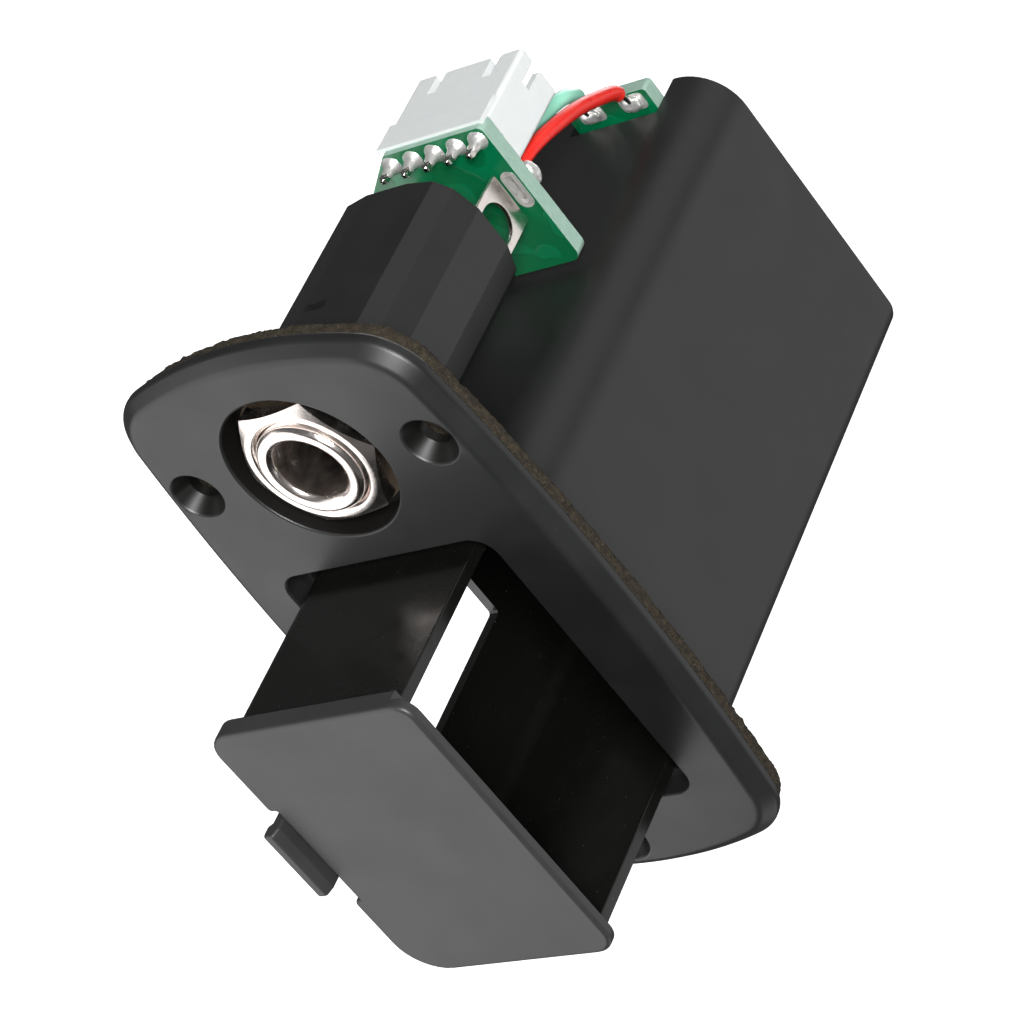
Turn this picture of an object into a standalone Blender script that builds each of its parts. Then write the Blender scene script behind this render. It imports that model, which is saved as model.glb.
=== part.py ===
"""Output jack plate for an electric instrument, with a pull-out 9 volt battery drawer.

The plate's seating plane is Y = 0: -Y is outward, +Y goes into the body panel.
+X runs from the jack to the drawer, and +Z is the side where the drawer's tray is open.
Sizes are in metres, written as millimetres times MM.
"""

import math

import bmesh
import bpy
from mathutils import Matrix, Vector

MM = 0.001

# Plate
PLATE_NEAR_LENGTH = 32.6 * MM
PLATE_FAR_LENGTH = 31.5 * MM
PLATE_HALF_WIDTH = 17.95 * MM
PLATE_SIDE_RADIUS = 225.0 * MM
PLATE_END_RADIUS = 41.0 * MM
PLATE_CORNER_RADIUS = 6.2 * MM
PLATE_FRONT = -3.8 * MM
PLATE_BACK = -1.5 * MM
PLATE_CHAMFER = 1.2 * MM
GASKET_FRONT = -1.2 * MM
GASKET_BACK = 0.0
GASKET_INSET = 0.5 * MM

# Screw holes: (X, Z) of each centre
SCREW_HOLES = ((-20.1 * MM, 13.0 * MM), (-20.1 * MM, -13.0 * MM), (27.2 * MM, -0.8 * MM))
SCREW_HEAD_RADIUS = 2.4 * MM
SCREW_HOLE_RADIUS = 1.4 * MM
SCREW_SINK_DEPTH = 1.4 * MM

# Jack: everything is turned about the line X = JACK_X, Z = 0
JACK_X = -20.2 * MM
RECESS_RADIUS = 7.75 * MM
RECESS_FLOOR = -0.7 * MM
COLLAR_RADIUS = 8.6 * MM
COLLAR_BACK = 0.3 * MM
FLOOR_BACK = 1.1 * MM
TUBE_BACK = 22.85 * MM
TUBE_BORE_RADIUS = 5.8 * MM
BUSH_RADIUS = 4.75 * MM
BUSH_BORE_RADIUS = 3.25 * MM
BUSH_FRONT = -4.15 * MM
BUSH_BACK = 6.0 * MM
THREAD_GAP = 0.15 * MM
NUT_ACROSS_FLATS = 12.0 * MM
NUT_FRONT = -3.6 * MM
NUT_BACK = -1.4 * MM
NUT_TURN = math.radians(2.0)
WASHER_RADIUS = 7.2 * MM

# Battery box
BOX_BACK = 53.2 * MM
CAVITY_CORNERS = (
    (-8.65 * MM, -11.3 * MM, 1.5 * MM),
    (21.45 * MM, -11.3 * MM, 3.5 * MM),
    (21.45 * MM, 10.2 * MM, 1.5 * MM),
    (-8.65 * MM, 10.2 * MM, 2.4 * MM),
)
BOX_CORNERS = (
    (-10.3 * MM, -12.9 * MM, 2.6 * MM),
    (22.75 * MM, -12.9 * MM, 5.0 * MM),
    (22.75 * MM, 11.8 * MM, 2.6 * MM),
    (-10.3 * MM, 11.8 * MM, 5.0 * MM),
)
BOX_DRAFT = (0.985, 0.985)
REBATE_CORNERS = (
    (-9.5 * MM, -12.5 * MM, 2.0 * MM),
    (22.3 * MM, -12.5 * MM, 4.4 * MM),
    (22.3 * MM, 10.7 * MM, 2.0 * MM),
    (-9.5 * MM, 10.7 * MM, 2.1 * MM),
)
REBATE_BACK = -1.7 * MM
LATCH_SLOT_X = (-0.5 * MM, 13.5 * MM)
LATCH_SLOT_LOW = -14.4 * MM
LATCH_SLOT_BACK = 16.2 * MM
TAB_SLOT_Z = (-3.6 * MM, 6.6 * MM)
TAB_SLOT_FRONT = 48.4 * MM

# Drawer, shown pulled out by 17.35 mm
PANEL_FRONT = -21.15 * MM
PANEL_SKIN = 1.0 * MM
PANEL_BACK = -19.15 * MM
PANEL_LOW = -12.1 * MM
PANEL_NOTCH_X = (0.3 * MM, 12.1 * MM)
PANEL_NOTCH_TOP = -11.3 * MM
TRAY_X = (-8.3 * MM, 21.1 * MM)
TRAY_Z = (-10.3 * MM, 8.4 * MM)
TRAY_RADII = (1.2 * MM, 3.2 * MM, 0.3 * MM, 0.3 * MM)
TRAY_BACK = 31.15 * MM
WALL = 1.2 * MM
TRAY_FLOOR = 1.0 * MM
TRAY_LIP_TOP = -7.5 * MM
TRAY_WINDOW_X = (0.5 * MM, 10.6 * MM)
TRAY_WINDOW_Y = (-5.1 * MM, 9.95 * MM)

# Latch finger, hinged under the drawer's floor
FINGER_X = (1.6 * MM, 9.6 * MM)
FINGER_TIP = -22.5 * MM
FINGER_LOW = -13.0 * MM
FINGER_TOP = -11.9 * MM
FINGER_LIP = -13.4 * MM
FINGER_BARB = -13.7 * MM
HINGE_Y = -7.15 * MM
HINGE_Z = -11.5 * MM
ROOT_TOP = -10.6 * MM

# Jack circuit board and its header
BOARD_FRONT = 28.0 * MM
BOARD_THICKNESS = 1.6 * MM
BOARD_BACK = BOARD_FRONT + BOARD_THICKNESS
BOARD_CORNERS = (
    (-23.3 * MM, -6.9 * MM, 0.3 * MM),
    (-11.1 * MM, -6.9 * MM, 1.0 * MM),
    (-11.1 * MM, 7.9 * MM, 1.0 * MM),
    (-26.6 * MM, 7.9 * MM, 0.6 * MM),
    (-26.6 * MM, -3.2 * MM, 0.3 * MM),
)
PIN_X = -25.4 * MM
PIN_PITCH = 2.45 * MM
PIN_MIDDLE_Z = 1.85 * MM
PIN_WIDTH = 0.64 * MM
PIN_HOLE = 1.0 * MM
PIN_COUNT = 5
PIN_FRONT = 25.9 * MM
PIN_BACK = 36.0 * MM
HEADER_X = (-26.6 * MM, -21.3 * MM)
HEADER_Z = (-4.2 * MM, 7.9 * MM)
HEADER_BASE = 29.9 * MM
HEADER_TOP = 38.2 * MM
HEADER_FLOOR = 1.5 * MM
HEADER_WALL = 0.7 * MM
HEADER_SLOT = 1.1 * MM
HEADER_SLOT_DEPTH = 2.7 * MM
TERMINAL_X = (-21.9 * MM, -16.6 * MM)
TERMINAL_Y = (23.3 * MM, 27.7 * MM)
TERMINAL_Z = (5.7 * MM, 6.1 * MM)
TERMINAL_LEG = 0.75 * MM
SLOT_X = (-21.3 * MM, -18.0 * MM)
SLOT_Z = (6.45 * MM, 7.35 * MM)

# Battery contact board, its springs and the wires
CONTACT_FRONT = 49.4 * MM
CONTACT_BACK = 51.0 * MM
TAB_X = -12.2 * MM
TAB_Z = (-3.2 * MM, 6.2 * MM)
FIT = 0.3 * MM
BATTERY_X = 6.3 * MM
BATTERY_TERMINAL_PITCH = 12.7 * MM
SPRING_THICKNESS = 0.3 * MM
SPRING_WIDTH = 4.0 * MM
WIRE_RADIUS = 0.7 * MM
PAD_X = -11.1 * MM
RED_PAD_Z = 4.2 * MM
GREEN_PAD_Z = -0.6 * MM
RED_ROUTE = (
    (-19.6, 30.3, 5.2),
    (-19.8, 33.2, 6.1),
    (-18.7, 37.5, 6.2),
    (-16.9, 42.0, 5.7),
    (-14.4, 46.6, 5.2),
    (-13.5, 47.6, 5.0),
)
GREEN_ROUTE = (
    (-19.6, 30.3, 1.4),
    (-19.8, 34.0, 2.5),
    (-18.7, 39.0, 3.2),
    (-17.3, 43.5, 3.1),
    (-15.2, 46.6, 1.8),
    (-13.5, 47.9, 0.2),
)

ROUND_STEPS = 32
SMALL_STEPS = 12
SMOOTH_ANGLE = math.radians(35.0)

# Material name: colour, metallic, roughness
MATERIALS = {
    "black_plastic": ((0.045, 0.048, 0.048), 0.0, 0.42),
    "panel_plastic": ((0.11, 0.112, 0.115), 0.0, 0.5),
    "foam": ((0.05, 0.042, 0.034), 0.0, 0.95),
    "fibre": ((0.10, 0.075, 0.055), 0.0, 0.8),
    "nickel": ((0.86, 0.80, 0.76), 1.0, 0.2),
    "brass": ((0.75, 0.62, 0.35), 1.0, 0.3),
    "jack_plastic": ((0.03, 0.03, 0.03), 0.0, 0.5),
    "board_green": ((0.0, 0.24, 0.12), 0.0, 0.3),
    "nylon_white": ((0.80, 0.82, 0.83), 0.0, 0.45),
    "solder": ((0.80, 0.79, 0.78), 1.0, 0.25),
    "wire_red": ((0.75, 0.03, 0.02), 0.0, 0.35),
    "wire_green": ((0.35, 0.85, 0.62), 0.0, 0.35),
}


# ---------------------------------------------------------------- scene and materials


def clear_scene():
    for obj in list(bpy.data.objects):
        bpy.data.objects.remove(obj, do_unlink=True)


def make_collection(name):
    collection = bpy.data.collections.new(name)
    bpy.context.scene.collection.children.link(collection)
    return collection


def make_materials():
    for name, (colour, metallic, roughness) in MATERIALS.items():
        material = bpy.data.materials.new(name)
        material.use_nodes = True
        shader = material.node_tree.nodes["Principled BSDF"]
        shader.inputs["Base Color"].default_value = (*colour, 1.0)
        shader.inputs["Metallic"].default_value = metallic
        shader.inputs["Roughness"].default_value = roughness
        material.diffuse_color = (*colour, 1.0)


def paint(obj, material):
    obj.data.materials.clear()
    obj.data.materials.append(bpy.data.materials[material])
    obj.data.shade_smooth()
    obj.data.set_sharp_from_angle(angle=SMOOTH_ANGLE)
    return obj


# ---------------------------------------------------------------- outlines


def arc(x, y, radius, start, end, steps):
    """Points on an arc from start to end, in radians, both ends included."""
    angles = [start + (end - start) * i / steps for i in range(steps + 1)]
    return [(x + radius * math.cos(a), y + radius * math.sin(a)) for a in angles]


def rounded(corners, steps=4):
    """Outline of a convex polygon given as (x, y, corner radius), anticlockwise."""
    points = []
    count = len(corners)
    for i, (x, y, radius) in enumerate(corners):
        here = Vector((x, y))
        back = (Vector(corners[i - 1][:2]) - here).normalized()
        ahead = (Vector(corners[(i + 1) % count][:2]) - here).normalized()
        half = back.angle(ahead) / 2.0
        centre = here + (back + ahead).normalized() * radius / math.sin(half)
        start = here + back * radius / math.tan(half) - centre
        end = here + ahead * radius / math.tan(half) - centre
        first = math.atan2(start.y, start.x)
        turn = (math.atan2(end.y, end.x) - first) % math.tau
        points += arc(centre.x, centre.y, radius, first, first + turn, steps)
    return points


def circle(x, y, radius, steps):
    return arc(x, y, radius, 0.0, math.tau, steps)[:-1]


def rectangle(x, y):
    """Outline of the rectangle between the two values of x and the two of y."""
    return [(x[0], y[0]), (x[1], y[0]), (x[1], y[1]), (x[0], y[1])]


def plate_quarter(half_length, inset, steps):
    """One corner of the plate, from its end's middle round to its side's middle: three arcs that meet smoothly."""
    end_radius = PLATE_END_RADIUS - inset
    side_radius = PLATE_SIDE_RADIUS - inset
    corner = PLATE_CORNER_RADIUS - inset
    end_centre = Vector((half_length - PLATE_END_RADIUS, 0.0))
    side_centre = Vector((0.0, PLATE_HALF_WIDTH - PLATE_SIDE_RADIUS))
    apart = end_centre - side_centre
    to_end = end_radius - corner
    to_side = side_radius - corner
    along = (apart.length_squared - to_end**2 + to_side**2) / (2.0 * apart.length)
    across = math.sqrt(to_side**2 - along**2)
    way = apart.normalized()
    middle = side_centre + way * along + Vector((way.y, -way.x)) * across
    end_turn = math.atan2(middle.y, middle.x - end_centre.x)
    side_turn = math.atan2(middle.y - side_centre.y, middle.x)
    points = arc(end_centre.x, 0.0, end_radius, 0.0, end_turn, steps)
    points += arc(middle.x, middle.y, corner, end_turn, side_turn, steps)[1:]
    return points + arc(0.0, side_centre.y, side_radius, side_turn, math.pi / 2.0, steps)[1:]


def plate_outline(inset=0.0, steps=5):
    """The plate: bowed sides, bowed ends and rounded corners; it reaches a little further at the jack's end."""
    far = plate_quarter(PLATE_FAR_LENGTH, inset, steps)
    near = plate_quarter(PLATE_NEAR_LENGTH, inset, steps)
    upper = far + [(-x, z) for x, z in reversed(near)][1:]
    return upper + [(x, -z) for x, z in reversed(upper)][1:-1]


def swollen(corners, amount):
    """The same rounded rectangle, larger by amount on every side."""
    x_middle = (corners[0][0] + corners[1][0]) / 2.0
    y_middle = (corners[0][1] + corners[2][1]) / 2.0
    return [
        (
            x + math.copysign(1.0, x - x_middle) * amount,
            y + math.copysign(1.0, y - y_middle) * amount,
            max(radius + amount, 0.2 * MM),
        )
        for x, y, radius in corners
    ]


# ---------------------------------------------------------------- solids

# An outline drawn in the curve's own X and Y is turned to stand square to each axis
STAND = {
    "X": Matrix(((0, 0, 1, 0), (1, 0, 0, 0), (0, 1, 0, 0), (0, 0, 0, 1))),
    "Y": Matrix.Rotation(math.pi / 2.0, 4, "X"),
    "Z": Matrix.Identity(4),
}


def object_from(name, mesh, collection):
    obj = bpy.data.objects.new(name, mesh)
    collection.objects.link(obj)
    if collection.name == "cutters":
        obj.hide_render = True
        obj.display_type = "WIRE"
    return obj


def mesh_of_curve(name, curve, collection):
    """Turns a curve into a mesh object whose caps are welded to its sides."""
    guide = bpy.data.objects.new(name + "_curve", curve)
    bpy.context.scene.collection.objects.link(guide)
    graph = bpy.context.evaluated_depsgraph_get()
    mesh = bpy.data.meshes.new_from_object(guide.evaluated_get(graph))
    mesh.name = name
    bpy.data.objects.remove(guide, do_unlink=True)
    bpy.data.curves.remove(curve)
    edit = bmesh.new()
    edit.from_mesh(mesh)
    bmesh.ops.remove_doubles(edit, verts=edit.verts, dist=0.001 * MM)
    bmesh.ops.recalc_face_normals(edit, faces=edit.faces)
    edit.to_mesh(mesh)
    edit.free()
    return object_from(name, mesh, collection)


def slab(name, outlines, axis, span, collection):
    """A flat outline, with any holes after it, drawn out along an axis between two values."""
    curve = bpy.data.curves.new(name, "CURVE")
    curve.dimensions = "2D"
    curve.fill_mode = "BOTH"
    curve.extrude = (span[1] - span[0]) / 2.0
    for outline in outlines:
        spline = curve.splines.new("POLY")
        spline.points.add(len(outline) - 1)
        for point, (x, y) in zip(spline.points, outline):
            point.co = (x, y, 0.0, 1.0)
        spline.use_cyclic_u = True
    obj = mesh_of_curve(name, curve, collection)
    middle = (span[0] + span[1]) / 2.0
    shift = Vector({"X": (middle, 0, 0), "Y": (0, middle, 0), "Z": (0, 0, middle)}[axis])
    obj.data.transform(Matrix.Translation(shift) @ STAND[axis])
    return obj


def turned(name, profile, centre, steps, collection):
    """A closed profile of (radius, Y), drawn down its outer side, turned about a line along Y."""
    mesh = bpy.data.meshes.new(name)
    edit = bmesh.new()
    verts = [edit.verts.new((radius, 0.0, -y)) for radius, y in profile]
    for i, vert in enumerate(verts):
        following = verts[(i + 1) % len(verts)]
        if vert.co.x > 0.0 or following.co.x > 0.0:
            edit.edges.new((vert, following))
    edit.to_mesh(mesh)
    edit.free()
    obj = object_from(name, mesh, collection)
    obj.location = (centre[0], 0.0, centre[1])
    obj.rotation_euler = (math.pi / 2.0, 0.0, 0.0)
    screw = obj.modifiers.new("turn", "SCREW")
    screw.steps = steps
    screw.render_steps = steps
    screw.use_merge_vertices = True
    screw.merge_threshold = 0.001 * MM
    return obj


def wire(name, points, radius, collection):
    """A round wire along points given in metres."""
    curve = bpy.data.curves.new(name, "CURVE")
    curve.dimensions = "3D"
    curve.bevel_depth = radius
    curve.bevel_resolution = 2
    curve.use_fill_caps = True
    spline = curve.splines.new("POLY")
    spline.points.add(len(points) - 1)
    for target, point in zip(spline.points, points):
        target.co = (*point, 1.0)
    return mesh_of_curve(name, curve, collection)


def smooth_route(points, per_span=4):
    """Points in metres on a Catmull-Rom curve through a route in millimetres."""
    route = [Vector(p) * MM for p in points]
    route = [route[0] * 2.0 - route[1]] + route + [route[-1] * 2.0 - route[-2]]
    smooth = []
    for a, b, c, d in zip(route, route[1:], route[2:], route[3:]):
        for i in range(per_span):
            t = i / per_span
            bend = (a * 2.0 - b * 5.0 + c * 4.0 - d) * t * t
            twist = (b * 3.0 - a - c * 3.0 + d) * t * t * t
            smooth.append((b * 2.0 + (c - a) * t + bend + twist) / 2.0)
    return smooth + [route[-2]]


def boolean(obj, other, operation):
    modifier = obj.modifiers.new(other.name, "BOOLEAN")
    modifier.operation = operation
    modifier.solver = "EXACT"
    modifier.object = other


def cut(obj, *cutters):
    for cutter in cutters:
        boolean(obj, cutter, "DIFFERENCE")


def join(obj, *others):
    for other in others:
        boolean(obj, other, "UNION")


def chamfer_rim(obj, y, width):
    """Cuts a 45 degree chamfer all round the flat end at this Y."""
    edit = bmesh.new()
    edit.from_mesh(obj.data)
    bmesh.ops.dissolve_limit(edit, angle_limit=0.01, verts=edit.verts, edges=edit.edges)
    rim = [e for e in edit.edges if all(abs(v.co.y - y) < 0.01 * MM for v in e.verts)]
    bmesh.ops.bevel(edit, geom=rim, offset=width, segments=1, profile=0.5, affect="EDGES")
    edit.to_mesh(obj.data)
    edit.free()


def draft(obj, y, centre, scale):
    """Draws the end at this Y in towards centre, as a moulded box tapers."""
    for vert in obj.data.vertices:
        if abs(vert.co.y - y) < 0.01 * MM:
            vert.co.x = centre[0] + (vert.co.x - centre[0]) * scale[0]
            vert.co.z = centre[1] + (vert.co.z - centre[1]) * scale[1]


# ---------------------------------------------------------------- housing and gasket


def tube_outline():
    """Section of the jack tube: flat sides with a two-step corner."""
    quarter = [(6.5 * MM, 2.3 * MM), (6.0 * MM, 4.9 * MM), (4.7 * MM, 6.2 * MM), (2.15 * MM, 7.1 * MM)]
    left = [(-x, z) for x, z in reversed(quarter)]
    upper = quarter + left
    lower = [(-x, -z) for x, z in upper]
    return [(JACK_X + x, z) for x, z in upper + lower]


def screw_hole_cutters(cutters):
    holes = []
    sink = PLATE_FRONT + SCREW_SINK_DEPTH
    for i, centre in enumerate(SCREW_HOLES):
        profile = [
            (0.0, PLATE_FRONT - MM),
            (SCREW_HEAD_RADIUS, PLATE_FRONT - MM),
            (SCREW_HEAD_RADIUS, PLATE_FRONT),
            (SCREW_HOLE_RADIUS, sink),
            (SCREW_HOLE_RADIUS, MM),
            (0.0, MM),
        ]
        holes.append(turned(f"screw_hole_{i + 1}", profile, centre, 20, cutters))
    return holes


def make_housing(parts, cutters):
    housing = slab("housing", [plate_outline()], "Y", (PLATE_FRONT, PLATE_BACK), parts)
    chamfer_rim(housing, PLATE_FRONT, PLATE_CHAMFER)
    box = slab("box_shell", [rounded(BOX_CORNERS)], "Y", (PLATE_BACK - 0.5 * MM, BOX_BACK), cutters)
    draft(box, BOX_BACK, (6.3 * MM, -0.5 * MM), BOX_DRAFT)
    tube = slab("tube_shell", [tube_outline()], "Y", (PLATE_BACK - 0.5 * MM, TUBE_BACK), cutters)
    collar_span = (PLATE_BACK - 0.6 * MM, COLLAR_BACK)
    collar_outline = circle(JACK_X, 0.0, COLLAR_RADIUS, ROUND_STEPS)
    collar = slab("collar_shell", [collar_outline], "Y", collar_span, cutters)
    join(housing, collar, box, tube)

    recess_outline = circle(JACK_X, 0.0, RECESS_RADIUS, ROUND_STEPS)
    recess = slab("recess", [recess_outline], "Y", (PLATE_FRONT - MM, RECESS_FLOOR), cutters)
    bush_outline = circle(JACK_X, 0.0, BUSH_RADIUS + THREAD_GAP, ROUND_STEPS)
    bush_hole = slab("bush_hole", [bush_outline], "Y", (RECESS_FLOOR - MM, FLOOR_BACK + MM), cutters)
    bore_outline = circle(JACK_X, 0.0, TUBE_BORE_RADIUS, ROUND_STEPS)
    bore = slab("tube_bore", [bore_outline], "Y", (FLOOR_BACK, TUBE_BACK + MM), cutters)
    rebate = slab("rebate", [rounded(REBATE_CORNERS)], "Y", (PLATE_FRONT - MM, REBATE_BACK), cutters)
    cavity = slab("cavity", [rounded(CAVITY_CORNERS)], "Y", (-2.0 * MM, BOX_BACK + MM), cutters)
    slot_outline = rectangle(LATCH_SLOT_X, (LATCH_SLOT_LOW, -9.0 * MM))
    latch_slot = slab("latch_slot", [slot_outline], "Y", (PLATE_FRONT - 1.5 * MM, LATCH_SLOT_BACK), cutters)
    tab_outline = rectangle((-12.0 * MM, -5.0 * MM), TAB_SLOT_Z)
    tab_slot = slab("tab_slot", [tab_outline], "Y", (TAB_SLOT_FRONT, BOX_BACK + 1.5 * MM), cutters)
    cut(housing, recess, bush_hole, bore, rebate, cavity, latch_slot, tab_slot)
    cut(housing, *screw_hole_cutters(cutters))
    return paint(housing, "black_plastic")


def make_gasket(parts, cutters):
    span = (GASKET_FRONT, GASKET_BACK)
    gasket = slab("gasket", [plate_outline(GASKET_INSET)], "Y", span, parts)
    wide = (GASKET_FRONT - MM, GASKET_BACK + MM)
    wider = (GASKET_FRONT - 1.5 * MM, GASKET_BACK + 1.5 * MM)
    widest = (GASKET_FRONT - 2.0 * MM, GASKET_BACK + 2.0 * MM)
    collar_outline = circle(JACK_X, 0.0, COLLAR_RADIUS + FIT, ROUND_STEPS)
    collar_hole = slab("gasket_collar_hole", [collar_outline], "Y", wide, cutters)
    box_hole = slab("gasket_box_hole", [rounded(swollen(BOX_CORNERS, FIT))], "Y", wider, cutters)
    notch_x = (LATCH_SLOT_X[0] - FIT, LATCH_SLOT_X[1] + FIT)
    notch_outline = rectangle(notch_x, (LATCH_SLOT_LOW - FIT, -9.0 * MM))
    notch = slab("gasket_notch", [notch_outline], "Y", widest, cutters)
    cut(gasket, collar_hole, box_hole, notch)
    for x, z in SCREW_HOLES:
        cut(gasket, slab("gasket_screw_hole", [circle(x, z, 2.2 * MM, 16)], "Y", wide, cutters))
    return paint(gasket, "foam")


# ---------------------------------------------------------------- jack


def make_nut_washer(parts):
    inner = BUSH_RADIUS + THREAD_GAP
    back = RECESS_FLOOR - THREAD_GAP
    front = NUT_BACK + THREAD_GAP
    profile = [(WASHER_RADIUS, front), (WASHER_RADIUS, back), (inner, back), (inner, front)]
    return paint(turned("nut_washer", profile, (JACK_X, 0.0), ROUND_STEPS, parts), "fibre")


def make_jack_nut(parts, cutters):
    corner = NUT_ACROSS_FLATS / math.sqrt(3.0)
    start = NUT_TURN + math.pi / 6.0
    hexagon = [
        (JACK_X + corner * math.cos(start + i * math.pi / 3.0), corner * math.sin(start + i * math.pi / 3.0))
        for i in range(6)
    ]
    nut = slab("jack_nut", [hexagon], "Y", (NUT_FRONT, NUT_BACK), parts)
    crown_radius = NUT_ACROSS_FLATS / 2.0 - 0.1 * MM
    inner = BUSH_RADIUS + THREAD_GAP
    crown = [
        (crown_radius, NUT_FRONT - 0.3 * MM),
        (crown_radius, NUT_FRONT),
        (corner, NUT_FRONT + 0.5 * MM),
        (corner + MM, NUT_FRONT + 0.5 * MM),
        (corner + MM, NUT_BACK + MM),
        (inner, NUT_BACK + MM),
        (inner, NUT_FRONT - 0.3 * MM),
    ]
    boolean(nut, turned("nut_crown", crown, (JACK_X, 0.0), ROUND_STEPS, cutters), "INTERSECT")
    return paint(nut, "nickel")


def make_jack_bushing(parts):
    """Threaded bushing with a shoulder that bears on the back of the housing's floor."""
    shoulder_front = FLOOR_BACK + FIT
    shoulder_back = shoulder_front + 1.0 * MM
    profile = [
        (BUSH_RADIUS - 0.35 * MM, BUSH_FRONT),
        (BUSH_RADIUS, BUSH_FRONT + 0.35 * MM),
        (BUSH_RADIUS, shoulder_front),
        (5.5 * MM, shoulder_front),
        (5.5 * MM, shoulder_back),
        (4.3 * MM, shoulder_back),
        (4.3 * MM, BUSH_BACK),
        (BUSH_BORE_RADIUS, BUSH_BACK),
        (BUSH_BORE_RADIUS, BUSH_FRONT + 0.4 * MM),
        (BUSH_BORE_RADIUS + 0.4 * MM, BUSH_FRONT),
    ]
    return paint(turned("jack_bushing", profile, (JACK_X, 0.0), ROUND_STEPS, parts), "nickel")


def make_jack_body(parts):
    """Insulating sleeve behind the bushing, with a chamber round the contact springs."""
    front = FLOOR_BACK + FIT + 1.0 * MM + FIT
    profile = [
        (5.5 * MM, front),
        (5.5 * MM, 22.5 * MM),
        (4.9 * MM, 22.5 * MM),
        (4.9 * MM, 8.0 * MM),
        (4.6 * MM, 7.0 * MM),
        (4.6 * MM, front),
    ]
    return paint(turned("jack_body", profile, (JACK_X, 0.0), 24, parts), "jack_plastic")


def strip_outline(path, thickness):
    """Outline of a bent strip: the path, then the path again at one thickness to its left."""
    left = []
    for i, (x, y) in enumerate(path):
        before = Vector(path[max(i - 1, 0)])
        after = Vector(path[min(i + 1, len(path) - 1)])
        along = (after - before).normalized()
        left.append((x - along.y * thickness, y + along.x * thickness))
    return list(path) + left[::-1]


def make_tip_contact(parts):
    """Leaf spring under the plug's tip: anchored at the board, free end forward."""
    path = [(27.6 * MM, -4.2 * MM), (25.6 * MM, -4.2 * MM), (23.4 * MM, -2.6 * MM), (18.6 * MM, -3.2 * MM)]
    span = (JACK_X - 1.5 * MM, JACK_X + 1.5 * MM)
    outline = strip_outline(path, SPRING_THICKNESS)
    return paint(slab("tip_contact", [outline], "X", span, parts), "brass")


def make_ring_contact(parts):
    """Leaf spring beside the plug's ring, square to the tip contact."""
    side = [(4.0, 27.6), (3.4, 20.0), (2.9, 16.0), (3.2, 12.6)]
    path = [(JACK_X + x * MM, y * MM) for x, y in side]
    outline = strip_outline(path, SPRING_THICKNESS)
    return paint(slab("ring_contact", [outline], "Z", (-1.5 * MM, 1.5 * MM), parts), "brass")


def make_sleeve_terminal(parts):
    """Plate terminal with a round arch between two legs that point into the tube."""
    x_low, x_high = TERMINAL_X
    radius = (x_high - x_low) / 2.0 - TERMINAL_LEG
    arch_y = 24.3 * MM
    middle = (x_low + x_high) / 2.0
    outline = [(x_low, TERMINAL_Y[1]), (x_low, TERMINAL_Y[0]), (middle - radius, TERMINAL_Y[0])]
    outline += arc(middle, arch_y, radius, math.pi, 0.0, 12)
    outline += [(middle + radius, TERMINAL_Y[0]), (x_high, TERMINAL_Y[0]), (x_high, TERMINAL_Y[1])]
    return paint(slab("sleeve_terminal", [outline], "Z", TERMINAL_Z, parts), "nickel")


# ---------------------------------------------------------------- jack board and header


def pin_heights():
    middle = (PIN_COUNT - 1) / 2.0
    return [PIN_MIDDLE_Z + (i - middle) * PIN_PITCH for i in range(PIN_COUNT)]


def square(x, z, side):
    return rectangle((x - side / 2.0, x + side / 2.0), (z - side / 2.0, z + side / 2.0))


def make_jack_pcb(parts):
    holes = [square(PIN_X, z, PIN_HOLE) for z in pin_heights()]
    end = (SLOT_Z[1] - SLOT_Z[0]) / 2.0
    slot_corners = [(*point, 0.98 * end) for point in rectangle(SLOT_X, SLOT_Z)]
    outlines = [rounded(BOARD_CORNERS), rounded(slot_corners)] + holes
    return paint(slab("jack_pcb", outlines, "Y", (BOARD_FRONT, BOARD_BACK), parts), "board_green")


def make_header_shell(parts, cutters):
    corners = [(x, z, 0.5 * MM) for x, z in rectangle(HEADER_X, HEADER_Z)]
    holes = [square(PIN_X, z, PIN_HOLE) for z in pin_heights()]
    shell = slab("header_shell", [rounded(corners, 1)] + holes, "Y", (HEADER_BASE, HEADER_TOP), parts)
    inner_x = (HEADER_X[0] + HEADER_WALL, HEADER_X[1] - HEADER_WALL)
    inner_z = (HEADER_Z[0] + HEADER_WALL, HEADER_Z[1] - HEADER_WALL)
    inside_span = (HEADER_BASE + HEADER_FLOOR, HEADER_TOP + MM)
    inside = slab("header_inside", [rectangle(inner_x, inner_z)], "Y", inside_span, cutters)
    cut(shell, inside)
    slot_span = (HEADER_TOP - HEADER_SLOT_DEPTH, HEADER_TOP + 1.5 * MM)
    length = HEADER_Z[1] - HEADER_Z[0]
    for i, share in enumerate((0.24, 0.76)):
        z = HEADER_Z[0] + share * length
        outline = rectangle((HEADER_X[0] - MM, -24.5 * MM), (z - HEADER_SLOT / 2.0, z + HEADER_SLOT / 2.0))
        cut(shell, slab(f"header_side_slot_{i + 1}", [outline], "Y", slot_span, cutters))
    end_x = (HEADER_X[0] + 1.6 * MM, HEADER_X[0] + 1.6 * MM + HEADER_SLOT)
    outline = rectangle(end_x, (6.0 * MM, HEADER_Z[1] + MM))
    cut(shell, slab("header_end_slot", [outline], "Y", slot_span, cutters))
    return paint(shell, "nylon_white")


def make_header_pins(parts):
    for i, z in enumerate(pin_heights()):
        outline = square(PIN_X, z, PIN_WIDTH)
        pin = slab(f"header_pin_{i + 1}", [outline], "Y", (PIN_FRONT, PIN_BACK), parts)
        paint(pin, "solder")


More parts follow.
